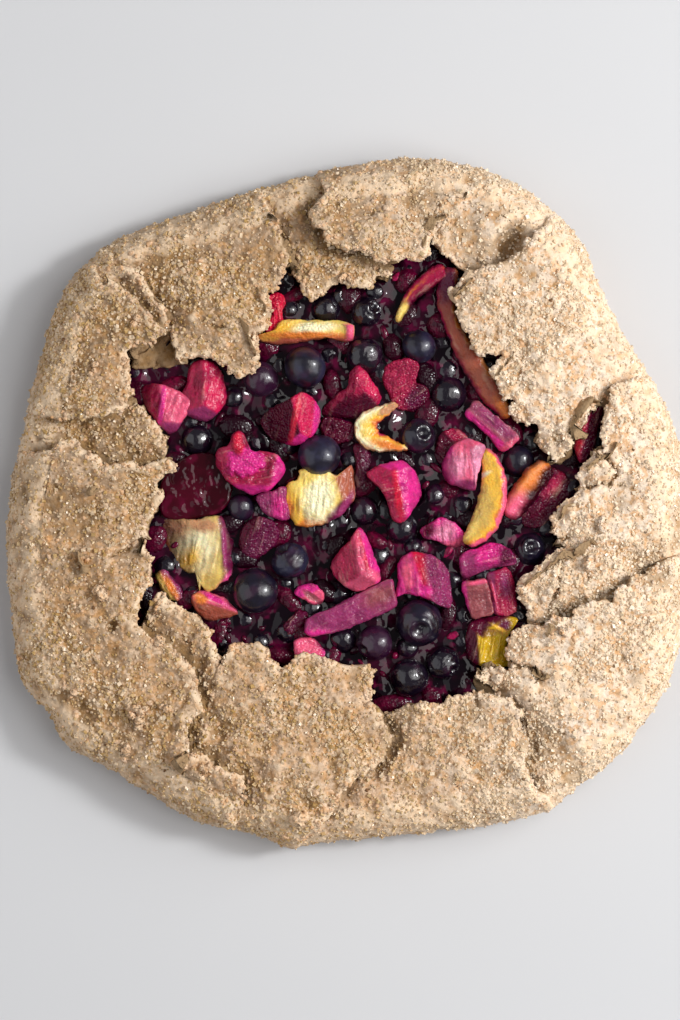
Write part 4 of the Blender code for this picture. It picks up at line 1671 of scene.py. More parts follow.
@dataclass(frozen=True)
class Chunk(Morsel):
    """A cut piece drawn by its outline and the planes of its upper side."""

    corners: tuple[tuple[float, float], ...]
    facets: tuple[Facet, ...]
    spots: tuple[Spot, ...] = ()
    grain: float = 0.0          # bearing of its fibres
    ribbed: float = 0.25        # height of its fibres, millimetres
    strand: float = 1.6         # width of its fibres
    thick: float = 8.0
    edge: float = 1.3           # radius of its edges
    ragged: float = 0.35        # how torn its outline is
    raised: float = 0.0

    def build(self, seed: int, shift: Points, finish: bpy.types.Material) -> None:
        """Shapes and places the piece.

        Args:
            seed: Sets its unevenness.
            shift: From the tables' plan to the frame's.
            finish: The material.
        """
        noise = Noise(seed)
        mesh, ring, turn = globe(88, 44)
        curve = through(np.array(self.corners, dtype=float), True, 6)
        middle = (curve.max(axis=0) + curve.min(axis=0)) / 2
        polar = np.arctan2(curve[:, 1] - middle[1], curve[:, 0] - middle[0])
        order = np.argsort(polar)
        reach = np.interp(turn, polar[order], np.hypot(*(curve - middle).T)[order], period=math.tau)
        over = ring / FACE_END
        down = np.clip((ring - FACE_END) / (WALL_END - FACE_END), 0.0, 1.0)
        share = np.where(ring < WALL_END, np.minimum(over, 1.0), (1 - ring) / (1 - WALL_END))
        away = (1 - np.minimum(over, 1.0)) * reach
        plan = middle + (share * reach)[:, None] * np.stack([np.cos(turn), np.sin(turn)], axis=-1)
        spot = np.column_stack([plan, 0 * share]) * MM
        stray = np.stack([noise.rough(spot + k, 3.2 * MM, 3, 0.6) for k in (0.2, 0.5)], axis=-1)
        plan = plan + self.ragged * stray * ease(3.0, 0.0, away)[:, None]
        levels = np.stack([
            -facet.down - math.tan(math.radians(facet.lean))
            * turned(plan - (facet.x, facet.y), facet.toward)[0] for facet in self.facets])
        levels = levels + 0.25 * stray[:, 0]
        height = -0.3 * np.log(np.exp(-(levels - levels.min(axis=0)) / 0.3).sum(axis=0))
        height = height + levels.min(axis=0)
        weight = np.exp(-(levels - levels.min(axis=0)) / 0.15)
        weight /= weight.sum(axis=0)
        tints = np.einsum("fn,fc->nc", weight, np.array([f.tone.value for f in self.facets]))
        wet = weight.T @ np.array([f.wet for f in self.facets])
        spread_spots(self.spots, plan, stray[:, 1], height, wet, tints)
        fibre = strands(noise, plan, self.grain, self.strand)
        lumps = 0.35 * noise.rough(spot + 0.8, 5.0 * MM, 3)
        curved = np.clip(self.edge - away, 0.0, self.edge)
        drop = self.edge - np.sqrt(np.maximum(self.edge ** 2 - curved ** 2, 0.0))
        drop = np.where(ring > FACE_END, self.edge, drop)
        face = self.top() + self.raised + height + self.ribbed * fibre + lumps - drop
        low = self.top() - self.thick
        z = np.where(ring <= FACE_END, face, face + (low - face) * down)
        places = np.column_stack([plan, np.where(ring > WALL_END, low, z)])
        fibre = 0.5 + min(2.5 * self.ribbed, 0.5) * fibre
        self.put(mesh, places, tints, wet, fibre, shift, finish)


@dataclass(frozen=True)
class Strip(Morsel):
    """A long slice drawn by its spine, its widths and the colours across it."""

    spine: tuple[tuple[float, float], ...]
    widths: tuple[float, ...]                   # half of its width at each corner of the spine
    bands: tuple[tuple[float, Tone], ...]       # -1 on the left of its travel to 1 on the right
    depth: float = 3.4
    roll: float = 0.0                           # degrees that its right side is lifted
    spots: tuple[Spot, ...] = ()
    ribbed: float = 0.2
    strand: float = 1.6
    wet: float = 0.2
    ragged: float = 0.35
    raised: float = 0.0
    arch: float = 0.0                           # how far its middle stands over its ends

    def build(self, seed: int, shift: Points, finish: bpy.types.Material) -> None:
        """Shapes and places the slice.

        Args:
            seed: Sets its unevenness.
            shift: From the tables' plan to the frame's.
            finish: The material.
        """
        noise = Noise(seed)
        mesh, ring, turn = globe(48, 90)
        line = through(np.array(self.spine, dtype=float), False, 12)
        gone = runs(line)
        run = ring * gone[-1]
        spine = at_runs(run, gone, line)
        slope = np.gradient(line, axis=0)
        slope /= np.linalg.norm(slope, axis=1, keepdims=True)
        ahead = at_runs(run, gone, slope)
        right = np.stack([ahead[:, 1], -ahead[:, 0]], axis=-1)
        places_along = np.linspace(0.0, 1.0, len(self.widths))
        ends = np.clip(np.minimum(ring, 1 - ring) * gone[-1] / 2.2, 0.0, 1.0)
        rounded = np.sqrt(1 - (1 - ends) ** 2)
        half = np.interp(ring, places_along, self.widths) * rounded
        across, up = np.cos(turn), np.sin(turn)
        across = np.sign(across) * np.abs(across) ** 0.7
        up = np.sign(up) * np.abs(up) ** 0.6 * rounded
        spot = np.column_stack([spine + right * (across * half)[:, None], 0 * half]) * MM
        stray = np.stack([noise.rough(spot + k, 3.2 * MM, 3, 0.6) for k in (0.2, 0.5)], axis=-1)
        bank = math.radians(self.roll)
        side = across * half * math.cos(bank) - up * self.depth * math.sin(bank) * 0.5
        plan = spine + right * side[:, None] + self.ragged * stray
        reach_up = up * self.depth + across * half * math.sin(bank)
        fibre = noise.rough(np.stack([
            run * 0.16, across * half, 0 * run], axis=-1) * MM, self.strand * MM, 3, 0.6)
        lumps = 0.3 * noise.rough(spot + 0.8, 5.0 * MM, 3)
        top = self.top() + self.raised - self.depth - self.arch * (2 * ring - 1) ** 2
        z = top + reach_up + (self.ribbed * fibre + lumps) * ease(-0.2, 0.3, up)
        where = across + 0.25 * stray[:, 0]
        tones = np.array([tone.value for _, tone in self.bands])
        tints = np.stack([np.interp(where, [at for at, _ in self.bands], tones[:, k])
                          for k in range(3)], axis=-1)
        wet = np.full(len(z), self.wet)
        spread_spots(self.spots, plan, stray[:, 1], z, wet, tints)
        self.put(mesh, np.column_stack([plan, z]), tints, wet, 0.5 + 0.5 * fibre, shift, finish)


# short names for the table below
F, S, T = Facet, Spot, Tone
RHU, PEA = Slot.RHUBARB, Slot.PEACH

MORSELS: tuple[Chunk | Strip, ...] = (
    Chunk("rhubarb_01", RHU, (
        (-69.5, 38), (-66.5, 40), (-62.5, 40), (-56, 37.5), (-51.5, 33.5), (-55, 27), (-59, 22.5),
        (-63, 26), (-67.5, 32)), (
        F(-63, 34, 0.8, 34, 262, T.CRIMSON), F(-61, 32, 0.2, 8, 90, T.CORAL),
        F(-58, 27, 0.5, 38, 175, T.ROSE)), (
        S(-62, 31, 8, 1.0, 8, 0.2, T.MAGENTA),), 20, 0.3),
    Chunk("rhubarb_02", RHU, (
        (-52.5, 46), (-48.5, 48.5), (-43, 46), (-40, 38), (-40.5, 33), (-45, 28), (-50, 27.5),
        (-56.5, 32.5), (-53.5, 40)), (
        F(-48, 38, 0, 22, 285, T.CRIMSON), F(-47, 38, 0, 30, 78, T.HOT),
        F(-48, 31, 0.6, 42, 185, T.ROSE)), (
        S(-46, 43, 3, 2, 60, 0.0, T.CRIMSON, 0.2, 0.8),), 10, 0.25),
    Chunk("rhubarb_03", RHU, (
        (-43.7, 13.9), (-42.4, 17.7), (-39, 19.3), (-38, 22.4), (-35.8, 24), (-33.6, 22.4),
        (-31.1, 17.4), (-27, 16.8), (-22.3, 15.8), (-19.8, 11.4), (-21.4, 7.6), (-25.1, 3.9),
        (-30.2, 2.3), (-35.2, 3.9), (-40.2, 7.6)), (
        F(-32, 12, 1.0, 6, 170, T.CRIMSON), F(-31, 6, 1.2, 38, 180, T.MAGENTA),
        F(-24, 10, 1.2, 34, 110, T.MAGENTA), F(-40, 11, 1.4, 36, 250, T.CRIMSON)), (
        S(-32.4, 12.6, 8.4, 5.6, 82, -1.1, T.CRIMSON, 0.4, 0.12),
        S(-33.0, 13.2, 7.2, 4.6, 80, 1.7, T.MAGENTA, 0.7, 0.15),
        S(-35.8, 19.5, 4.0, 1.8, 175, 1.0, T.RED, 0.6)), 80, 0.2, 1.2),
    Chunk("rhubarb_04", RHU, (
        (-28.5, 27), (-25.8, 31), (-20, 34), (-16.3, 36), (-13.2, 37), (-9.2, 33.7), (-7.8, 29.6),
        (-8.8, 24.6), (-13.4, 20.2), (-18.8, 19.2), (-24.5, 21.5)), (
        F(-16.5, 28, 0, 40, 252, T.WINE, 0.7), F(-15, 28, 0, 22, 82, T.HOT, 0.7),
        F(-10.5, 28, 1.6, 55, 92, T.MAGENTA, 0.8), F(-15, 22, 1.0, 48, 190, T.MAGENTA)), (
        S(-16.5, 28, 8.5, 1.1, 12, 0.2, T.RED, 0.3, 0.4),), 15, 0.3),
    Chunk("rhubarb_05", RHU, (
        (2.4, 44.7), (5.6, 46), (9.3, 41.9), (12.8, 34.3), (6.2, 28.7), (-2.1, 28.2), (-8.4, 30),
        (-2.5, 36.3), (1.5, 39.5)), (
        F(4.5, 41, 0, 34, 275, T.CRIMSON, 0.5), F(5.5, 41, 0, 26, 85, T.HOT, 0.6),
        F(4.5, 36.5, 1.4, 30, 190, T.WINE, 0.5)), (
        S(4.5, 39, 3.5, 2.6, 20, 0.3, T.CRIMSON, 0.7, 0.5),), 10, 0.25, thick=9.0),
    Chunk("rhubarb_06", RHU, (
        (7.6, 9), (11.1, 11.8), (16.6, 13.5), (20.8, 13.9), (24.2, 10.4), (26.3, 5.5), (26.3, 1.4),
        (22.9, -4.2), (20.1, -7.3), (16.6, -6.3), (15.2, -1.4), (12.4, 4.1)), (
        F(15.5, 4, 0.6, 12, 245, T.CRIMSON, 0.4), F(18.5, 4, 0, 16, 78, T.MAGENTA, 0.3),
        F(22.5, 4, 1.8, 50, 85, T.MAGENTA, 0.4), F(19, 11.5, 1.0, 40, 10, T.MAGENTA)), (
        S(14.2, 4.5, 6.2, 3.2, 155, -0.1, T.CRIMSON, 0.4),
        S(18.2, 3, 8.8, 1.3, 172, 0.3, T.RED, 0.3, 0.5)), 78, 0.35, 1.3),
    Chunk("rhubarb_07", RHU, (
        (4.8, -8.8), (7.2, -10.5), (8.3, -13), (11, -20), (12.6, -26.8), (8.3, -29.2), (4.1, -30.6),
        (-0.7, -28.2), (-4.4, -23.3), (-2.8, -18.5), (-0.2, -15.5), (2.7, -12)), (
        F(4.0, -19, 0.2, 27, 262, T.CRIMSON, 0.3), F(6.5, -19, 0, 12, 80, T.RED, 0.3),
        F(8.6, -20, 0.8, 48, 75, T.MAGENTA, 0.4), F(5.5, -26.5, 0.8, 40, 188, T.CORAL)), (
        S(5.6, -20, 9, 1.5, 170, 0.3, T.CORAL, 0.3, 0.5),
        S(9.2, -25, 3.6, 1.8, 110, 0.3, T.CORAL, 0.3, 0.5)), 170, 0.3, 1.5, thick=10.0),
    Chunk("rhubarb_08", RHU, (
        (-13.2, -40.7), (-10.5, -38.6), (-2.1, -35.1), (6.2, -30.3), (13.1, -27.5), (15.9, -25.2),
        (17.3, -30), (18, -35.5), (9.7, -40), (-0.7, -44.1), (-7.7, -45.6), (-12.6, -45.6)), (
        F(1.5, -36, 0, 5, 340, T.ROSE), F(1.5, -39, 0.4, 15, 157, T.ROSE)), (
        S(-10, -44.6, 4.5, 1.0, 85, 0.0, T.MAGENTA, 0.3, 0.5),
        S(12, -32, 5, 3.4, 65, 0.0, T.MAUVE, 0.1, 0.9)), 64, 0.18, 1.1, thick=6.0),
    Chunk("rhubarb_09", RHU, (
        (-16.8, -31), (-14.5, -28.6), (-10.7, -27.8), (-6.9, -31), (-6.6, -34), (-10, -35.8),
        (-12.8, -34)), (
        F(-12, -31, 0, 22, 330, T.MAGENTA), F(-11.5, -32, 0, 28, 160, T.CORAL)), (
        S(-11, -32.5, 3.6, 1.1, 125, -0.7, T.PALE, 0.2, 0.5),), 125, 0.3, thick=6.0),
    Chunk("rhubarb_10", RHU, (
        (18.7, -20.6), (22.2, -17.6), (28.4, -17.6), (34, -21), (36.2, -25.4), (36.9, -31),
        (36.4, -36), (33.5, -36), (28.4, -33), (21.5, -31.7), (18, -33), (18.3, -26.8)), (
        F(24, -25, 0.4, 18, 262, T.MAGENTA), F(26.5, -25, 0, 8, 40, T.RED),
        F(29, -26, 0.4, 24, 72, T.ROSE, 1.0)), (
        S(22, -25, 6, 1.8, 175, 0.2, T.CORAL, 0.2, 0.6),
        S(26, -30.5, 4, 1.8, 80, 0.0, T.MAGENTA, 0.3, 0.6)), 170, 0.3, 1.6),
    Chunk("rhubarb_11", RHU, (
        (26, -9.7), (29.8, -6.8), (34, -5.4), (38.8, -8), (41.2, -11.1), (41.6, -16), (36.7, -16),
        (31.2, -13.4), (27, -12)), (
        F(34, -10, 0.2, 14, 170, T.MAGENTA, 0.5), F(36, -13, 0.8, 36, 165, T.CORAL)), (
        S(34.5, -10.5, 3.8, 3.0, 80, 0.3, T.BLUSH, 0.6, 0.7),
        S(28.5, -9.5, 2.5, 3.0, 90, 0.0, T.WINE, 0.4, 0.7)), 175, 0.5, 1.5, thick=7.0),
    Chunk("rhubarb_12", RHU, (
        (39.5, -18.5), (45.1, -16), (50.6, -14), (54.8, -15.2), (58.4, -18.3), (58.4, -21.5),
        (50.6, -22.9), (45.1, -24.9), (40.9, -26.8)), (
        F(48, -19, 0.2, 12, 345, T.MAGENTA, 0.7), F(48, -21.5, 0.5, 32, 165, T.ROSE, 0.3)), (
        S(43, -21, 4, 3.5, 20, 0.0, T.ROSE, 0.2, 0.5),
        S(49, -19.5, 4, 2.2, 80, 0.2, T.MAGENTA, 0.5, 0.5),
        S(55.5, -18, 3, 3, 0, 0.0, T.PLUM, 1.0, 0.6)), 75, 0.4, 1.7, thick=7.0),
    Chunk("rhubarb_13", RHU, (
        (40.2, -28), (44.3, -26.8), (48.5, -26.4), (50, -32), (51, -38), (47.5, -39.2),
        (44, -39.8), (41.6, -34)), (
        F(45.5, -33, 0, 5, 200, T.MAUVE), F(42, -33, 0.3, 40, 258, T.MAGENTA)), (
        S(45.5, -27.6, 4.4, 0.7, 80, 0.1, T.CORAL, 0.2, 0.6),), 78, 0.22, 1.3, thick=7.0, edge=0.8),
    Chunk("rhubarb_14", RHU, (
        (48.4, -25), (52, -23.6), (55.6, -22.6), (58.4, -27), (59, -36), (58.4, -38.2),
        (51.6, -38.8), (50, -32)), (
        F(54, -31, 0.2, 8, 100, T.CRIMSON, 0.4), F(51, -31, 0.2, 24, 265, T.ROSE)), (
        S(51.2, -31.5, 5, 0.5, 165, 0.2, T.CORAL, 0.5, 0.5),
        S(55, -28, 4, 1.6, 170, 0.1, T.ROSE, 0.5, 0.8)), 172, 0.25, 1.4, thick=7.0),
    Chunk("rhubarb_15", RHU, (
        (41.2, 29.5), (42.8, 32.3), (44.7, 34.3), (47.8, 32.6), (54.8, 27), (59.3, 22.6),
        (59.3, 20.4), (54.1, 17), (49.9, 21.5), (45.7, 25.7)), (
        F(50, 26, 0, 4, 40, T.PALE), F(48.5, 24.5, 0.4, 34, 222, T.MAGENTA)), (
        S(50.8, 27.4, 10, 2.4, 130, 0.0, T.ROSE, 0.2, 0.8),
        S(56.6, 19.4, 3.4, 1.1, 55, 0.0, T.CORAL, 0.3, 0.5)), 133, 0.2, 1.2, thick=7.0, edge=0.9),
    Chunk("rhubarb_16", RHU, (
        (40, 21.4), (44.4, 20.8), (48.4, 18.6), (47.4, 15.3), (45.8, 9.7), (44.8, 3.8),
        (40.9, 4.2), (36.7, 5.8), (34, 9), (33.7, 13.2), (36.5, 18.2)), (
        F(42, 12, 0.2, 12, 262, T.CORAL), F(37.5, 12, 1.6, 44, 262, T.MAGENTA),
        F(44.5, 12, 0.1, 18, 85, T.BLUSH), F(40, 6.5, 1.4, 40, 195, T.ROSE)), (
        S(44.9, 11, 7.6, 0.9, 172, 0.3, T.BLUSH, 0.3, 0.4),
        S(43, 19.3, 5.5, 1.3, 72, 0.0, T.CORAL, 0.2, 0.5),
        S(39, 12, 4, 3, 0, 0.0, T.BLUSH, 0.2, 0.9)), 175, 0.2, 1.2),
    Chunk("rhubarb_17", RHU, (
        (-29.5, 2), (-23.9, 3.6), (-19.5, 5), (-18.9, -0.5), (-18.2, -6), (-22.6, -6),
        (-28, -3.2)), (
        F(-24, -1, 0, 10, 200, T.ROSE, 0.4),), (
        S(-22, -2, 4, 2, 170, 0.2, T.MAGENTA, 0.4, 0.8),), 178, 0.45, 1.4, thick=6.0, raised=0.4),
    Chunk("rhubarb_18", RHU, (
        (-26.3, 69), (-22.3, 71.4), (-19.6, 68.3), (-21, 63.9), (-20.2, 56), (-24, 55.8),
        (-27, 58.9), (-24.8, 63.9)), (
        F(-23, 66, -0.6, 16, 100, T.RED, 0.8), F(-23, 58, -3.4, 6, 190, T.MAGENTA, 0.6)), (
        S(-22.5, 67.5, 3, 1.5, 20, 0.4, T.RED, 0.9, 0.6),), 175, 0.35, 1.1, thick=8.0),
    Chunk("rhubarb_19", RHU, (
        (13, 43), (16.6, 47.8), (22.9, 48.5), (26, 46), (24.6, 41), (28.8, 38.4), (29, 34),
        (24.2, 31), (18, 31.5), (15.5, 36)), (
        F(20, 42, -0.6, 14, 230, T.CRIMSON, 0.9), F(22, 36, -0.4, 18, 150, T.WINE, 1.0)), (
        S(18, 42, 4, 3, 30, 0.3, T.CRIMSON, 0.6, 0.8),
        S(24, 35, 3.5, 2.5, 60, 0.3, T.PLUM, 1.0, 0.6)),
        60, 0.35, 1.8),
    Chunk("rhubarb_20", RHU, (
        (88.3, 34.5), (89, 30.5), (86.8, 24.3), (86, 19.4), (84.4, 14.8), (80, 13.6), (78.6, 20.8),
        (80, 27), (84.2, 31)), (
        F(83.5, 23, -1.4, 20, 105, T.WINE, 0.9), F(82, 22, -1.6, 26, 280, T.CRIMSON, 0.6)), (
        S(80.6, 22, 7.5, 0.9, 12, 0.3, T.RED, 0.6, 0.6),), 20, 0.3, 1.6, raised=1.2),
    Chunk("peach_01", PEA, (
        (-20.2, 3.5), (-19, 6.4), (-15.7, 7.5), (-15.1, 10.4), (-12.6, 11.6), (-8.2, 12.2),
        (-5, 10.4), (-1.9, 9.4), (1.3, 11.6), (3.2, 12.5), (3.8, 5), (3, -0.5), (-1.4, -5.2),
        (-8.2, -8.4), (-13.2, -9), (-17.6, -7.2), (-20, -1.8)), (
        F(-8, 2, 0.3, 4, 200, T.YELLOW), F(-15, -2, 0.9, 24, 240, T.GOLD),
        F(-3, -3, 0.9, 30, 140, T.PLUM), F(0, 5, 0.9, 24, 80, T.RUST),
        F(-9, -6.4, 1.2, 34, 185, T.ORANGE)), (
        S(-8.5, 1, 7.5, 5.0, 5, 0.2, T.CREAM, 0.5, 0.5),
        S(-12, 9, 6, 2.6, 60, 0.2, T.YELLOW, 0.1, 0.6),
        S(-18.5, -2.5, 4, 1.4, 175, 0.0, T.ORANGE, 0.3, 0.5),
        S(0.2, -2, 6, 1.2, 30, 0.1, T.ROSE, 0.3, 0.7)), 4, 0.5, 1.1, ragged=0.55),
    Chunk("peach_02", PEA, (
        (-65, -7), (-62.2, -4.3), (-54.1, -5.8), (-45.3, -5.4), (-41.5, -5.6), (-38.3, -12.5),
        (-37.2, -19.2), (-38.3, -25.5), (-41.5, -28.2), (-48, -31.5), (-50, -29.5), (-49.5, -25),
        (-54.1, -24.2), (-57.8, -21.4), (-61, -16.7), (-64, -13)), (
        F(-52, -15, 0.6, 4, 230, T.YELLOW), F(-43, -15, 0.2, 16, 262, T.STRAW),
        F(-41.4, -16, 0.0, 46, 82, T.PLUM), F(-60, -12, 1.0, 34, 245, T.CRIMSON)), (
        S(-50, -15, 8, 6, 10, 0.0, T.CREAM, 0.1, 1.0), S(-53, -20, 5, 3, 40, 0.0, T.GOLD, 0.2, 0.8),
        S(-58, -8.5, 6, 3.2, 100, 0.2, T.TAN, 0.3, 0.7),
        S(-48, -8, 6, 2.2, 95, 0.4, T.TAN, 0.3, 0.6),
        S(-61, -14, 4, 1.2, 160, 0.2, T.ORANGE, 0.2, 0.7),
        S(-40.6, -17, 10, 0.9, 178, 0.9, T.ROSE, 0.5, 0.5), S(-45, -28.8, 5, 1.2, 60, 0.2, T.STRAW),
        S(-40, -27, 3.5, 1.4, 40, 0.4, T.MAGENTA, 0.4, 0.5)), 12, 0.35, 1.8, ragged=0.6),
    Chunk("peach_03", PEA, (
        (-51.8, -31.8), (-47.8, -30.4), (-44, -31.4), (-40.2, -33.4), (-35.8, -38.1),
        (-41.5, -40.2),
        (-45.3, -41), (-49.7, -38.5), (-51.8, -35)), (
        F(-45, -34.5, -0.8, 22, 20, T.CORAL), F(-45, -35.5, -0.8, 26, 195, T.SKIN)), (
        S(-48.6, -32.8, 2.6, 1.6, 110, 0.3, T.ORANGE, 0.3, 0.5),
        S(-43.4, -33.4, 4.8, 0.9, 118, 0.4, T.MAGENTA, 0.5, 0.5)), 110, 0.25),
    Chunk("peach_04", PEA, (
        (-31, 56), (-24.5, 58), (-20.7, 61.8), (-13.2, 61.8), (-6.9, 61.6), (-1.4, 60.6),
        (0.8, 63.6), (3, 63), (3.6, 55.5), (0.6, 54.4), (-5, 55.4), (-13.2, 54.4), (-19.5, 53.4),
        (-25.8, 53.6)), (
        F(-12, 59, 0.3, 8, 0, T.YELLOW), F(-12, 56.6, 0.4, 36, 182, T.SKIN)), (
        S(-11, 59, 8, 1.7, 88, 0.3, T.CREAM, 0.8, 0.6), S(-22, 58, 6, 2, 70, 0.0, T.GOLD, 0.4, 0.6),
        S(-13, 56.6, 16, 1.0, 90, 0.0, T.ORANGE, 0.4, 0.7),
        S(2.2, 59.5, 5, 1.4, 175, 0.9, T.CORAL, 0.4)),
        80, 0.4, 1.4, thick=6.5, ragged=0.45),
    Strip("peach_05", PEA, (
        (18.6, 33.4), (14, 31), (9.4, 28.4), (7.4, 24.6), (9.6, 21), (15, 19.2), (22.8, 18.4)),
        (0.8, 2.2, 3.4, 4.2, 3.4, 1.9, 0.7), (
        (-1, T.CRIMSON), (-0.75, T.ORANGE), (-0.4, T.GOLD), (0.2, T.YELLOW), (0.7, T.CREAM),
        (1, T.TAN)), 2.8, 10, (
        S(15, 19, 6, 1.4, 105, 0.2, T.ORANGE, 0.4, 0.6), S(15.5, 31.6, 4, 1.6, 60, 0.0, T.TAN)),
        0.5, 1.0, ragged=0.5),
    Strip("peach_06", PEA, (
        (47.6, 18), (50.2, 13), (51.2, 7), (50.8, 0.5), (48.8, -6), (45.5, -11), (41.2, -14.6)),
        (1.8, 3.4, 4.4, 5.2, 5.0, 4.2, 2.0), (
        (-1, T.CORAL), (-0.86, T.CORAL), (-0.7, T.ORANGE), (-0.45, T.GOLD), (0.1, T.STRAW),
        (0.6, T.YELLOW), (1, T.TAN)), 3.6, -14, (
        S(49.5, 9, 7, 2.6, 170, 0.0, T.GOLD, 0.4, 0.7),
        S(47.4, -2, 6, 2.2, 178, 0.0, T.STRAW, 0.3, 0.6),
        S(46.8, 8.5, 3.4, 0.7, 60, 0.2, T.CREAM, 0.5, 0.6)), 0.25, 1.4, arch=1.4),
    Strip("peach_07", PEA, (
        (56, -5.6), (59, -1), (62.5, 4), (66, 8.6), (70.5, 12.4)), (3.2, 4.4, 4.8, 4.6, 3.2), (
        (-1, T.SKIN), (-0.6, T.ORANGE), (-0.15, T.SKIN), (0.2, T.MAROON), (1, T.INK)), 4.0, -20, (
        S(64, 8, 6, 2.2, 40, 0.0, T.ORANGE, 0.2, 0.8),
        S(57.5, -2, 5, 2.4, 35, 0.0, T.CORAL, 0.2, 0.9),
        S(69.5, 8.5, 4, 2.4, 30, 0.2, T.MAROON, 1.0, 0.5)), 0.2, 1.8),
    Strip("peach_08", PEA, (
        (37.5, 80), (35.6, 74), (35.2, 67), (37.4, 59.5), (41.6, 51.2), (46.4, 43), (51.6, 35),
        (56.5, 28.4)), (2.6, 3.4, 3.0, 3.0, 4.2, 4.4, 4.0, 2.4), (
        (-1, T.ORANGE), (-0.85, T.TAN), (-0.65, T.SKIN), (0.4, T.SKIN), (0.8, T.CRIMSON),
        (1, T.PLUM)), 3.6, -22, (
        S(35.5, 74, 7, 4, 0, 0.0, T.PLUM, 0.3, 0.7), S(44, 46, 9, 2.4, 150, 0.0, T.RUST, 0.3, 0.9),
        S(55, 30.5, 5, 1.8, 145, 0.0, T.ORANGE, 0.4, 0.8)), 0.12, 2.4, 0.15),
    Strip("peach_09", PEA, (
        (18.4, 61), (20.8, 66.5), (24.4, 71.6), (29.6, 75.8), (35, 79.6)),
        (0.9, 1.8, 2.6, 3.2, 3.2), (
        (-1, T.WINE), (-0.5, T.CRIMSON), (-0.15, T.ORANGE), (0.1, T.CRIMSON), (1, T.WINE)),
        2.6, 18, (
        S(19.8, 64.5, 4, 1.5, 25, 0.0, T.YELLOW, 0.3, 0.5),
        S(31, 77, 5, 3, 50, 0.0, T.CRIMSON, 0.3, 0.8)),
        0.15, raised=2.0),
    Chunk("peach_10", PEA, (
        (42, -43.5), (45.1, -40), (52, -39), (58.2, -39.2), (59.2, -41), (57.2, -44.1),
        (55.6, -47.6), (56, -53.9), (57, -56), (52.7, -57.4), (47.8, -56.3), (44, -55),
        (41.6, -51)), (
        F(50, -48, 0.3, 10, 100, T.MUSTARD), F(45, -48, 0.1, 34, 262, T.WINE),
        F(50, -42.5, 0.3, 28, 350, T.WINE)), (
        S(47.5, -44.4, 2.0, 2.2, 0, -0.5, T.WINE, 0.4, 0.4),
        S(50.6, -44.8, 1.4, 1.8, 0, -0.4, T.WINE, 0.4, 0.4),
        S(54.5, -42.5, 2.6, 2.2, 60, 0.0, T.PLUM, 0.4, 0.5),
        S(50.5, -50, 5, 2.5, 5, 0.2, T.MUSTARD, 0.3, 0.9),
        S(53.5, -43.6, 3.4, 0.6, 120, 0.2, T.GOLD, 0.4, 0.6)), 12, 0.65, 1.7),
    Chunk("peach_11", PEA, (
        (-62.6, 6), (-58.5, 12), (-52, 16), (-44, 16), (-39.6, 12), (-38, 4), (-41, -3),
        (-50, -6), (-58, -6.6), (-62.8, -3.5)), (
        F(-50, 5, -0.4, 5, 160, T.MAROON, 0.0), F(-50, -2.5, 0.0, 18, 185, T.WINE, 0.0)), (
        S(-44, 8, 7, 5, 60, 0.0, T.INK, 0.0, 0.9),
        S(-48, -4.4, 7, 0.9, 96, 0.3, T.ROSE, 0.5, 0.6)),
        100, 0.08, 3.0, ragged=0.3),
    Chunk("peach_12", PEA, (
        (64, 8), (69, 11.5), (76, 9.5), (78.4, 3), (74, -4), (68, -8.4), (62, -9), (59.6, -5),
        (62, 2)), (
        F(69, 1, -0.8, 12, 110, T.WINE, 0.7), F(64, -4, -0.6, 18, 230, T.WINE, 0.6)), (
        S(72, 6, 5, 1.8, 40, 0.2, T.CRIMSON, 0.8, 0.7),), 40, 0.3, 2.0),
    Chunk("filling", Slot.JAM, (
        (-17, -48.6), (-16, -46.9), (-12.9, -45.9), (-9.5, -46.9), (-7.1, -49.6), (-5.4, -52.4),
        (-8.5, -55.1), (-13.6, -55.1), (-16.7, -52.4)), (
        F(-12, -50, 0, 12, 60, T.CORAL, 0.3), F(-8, -50, 0.6, 34, 70, T.MAGENTA, 0.9)),
        (), 110, 0.3, raised=0.9, label="bit_red"),
    Chunk("filling", Slot.JAM, (
        (-64.4, -25.2), (-61, -22.8), (-58.5, -25.8), (-55.1, -29.9), (-54.4, -33.3), (-58.8, -34),
        (-62.2, -30.6)), (
        F(-60, -28, 0, 20, 60, T.ROSE, 0.4), F(-60.5, -29, 0.2, 24, 240, T.STRAW)), (
        S(-59, -29, 4.5, 1.2, 150, 0.2, T.ORANGE, 0.3, 0.6),), 150, 0.25, raised=0.8,
        label="bit_peach"),
    Chunk("filling", Slot.JAM, (
        (-35, -9.5), (-31.6, -6.1), (-27.5, -5.1), (-23.1, -7.8), (-21.8, -12.9), (-25.5, -17),
        (-29.9, -19.7), (-34, -18.4), (-35.7, -14.6)), (
        F(-29, -12, 0, 12, 150, T.PLUM, 0.8), F(-33, -12, 0.2, 22, 280, T.WINE, 0.5)),
        (), 20, 0.3, raised=1.2, label="bit_plum"),
    Chunk("filling", Slot.JAM, (
        (-7.5, 28), (-2, 28.5), (4, 26), (3, 21), (-2, 19.5), (-7, 21.5)), (
        F(-2, 24, 0, 8, 180, T.WINE, 0.6),), (), 20, 0.3, raised=0.8, label="bit_wine"),
    Chunk("filling", Slot.JAM, (
        (3, 19.5), (8, 19), (9.4, 12), (6, 5), (3.5, 6), (4, 13)), (
        F(6, 12, 0, 12, 270, T.WINE, 0.3), F(7, 12, 0.2, 24, 90, T.PLUM, 0.3)),
        (), 165, 0.3, raised=0.6, label="bit_skin"),
    Chunk("filling", Slot.JAM, (
        (33, 23), (38, 25), (43, 22), (38, 18.5), (34, 12.5), (30.8, 16)), (
        F(36, 20, 0, 14, 225, T.WINE, 0.4), F(38, 22, 0.2, 20, 45, T.CRIMSON, 0.6)),
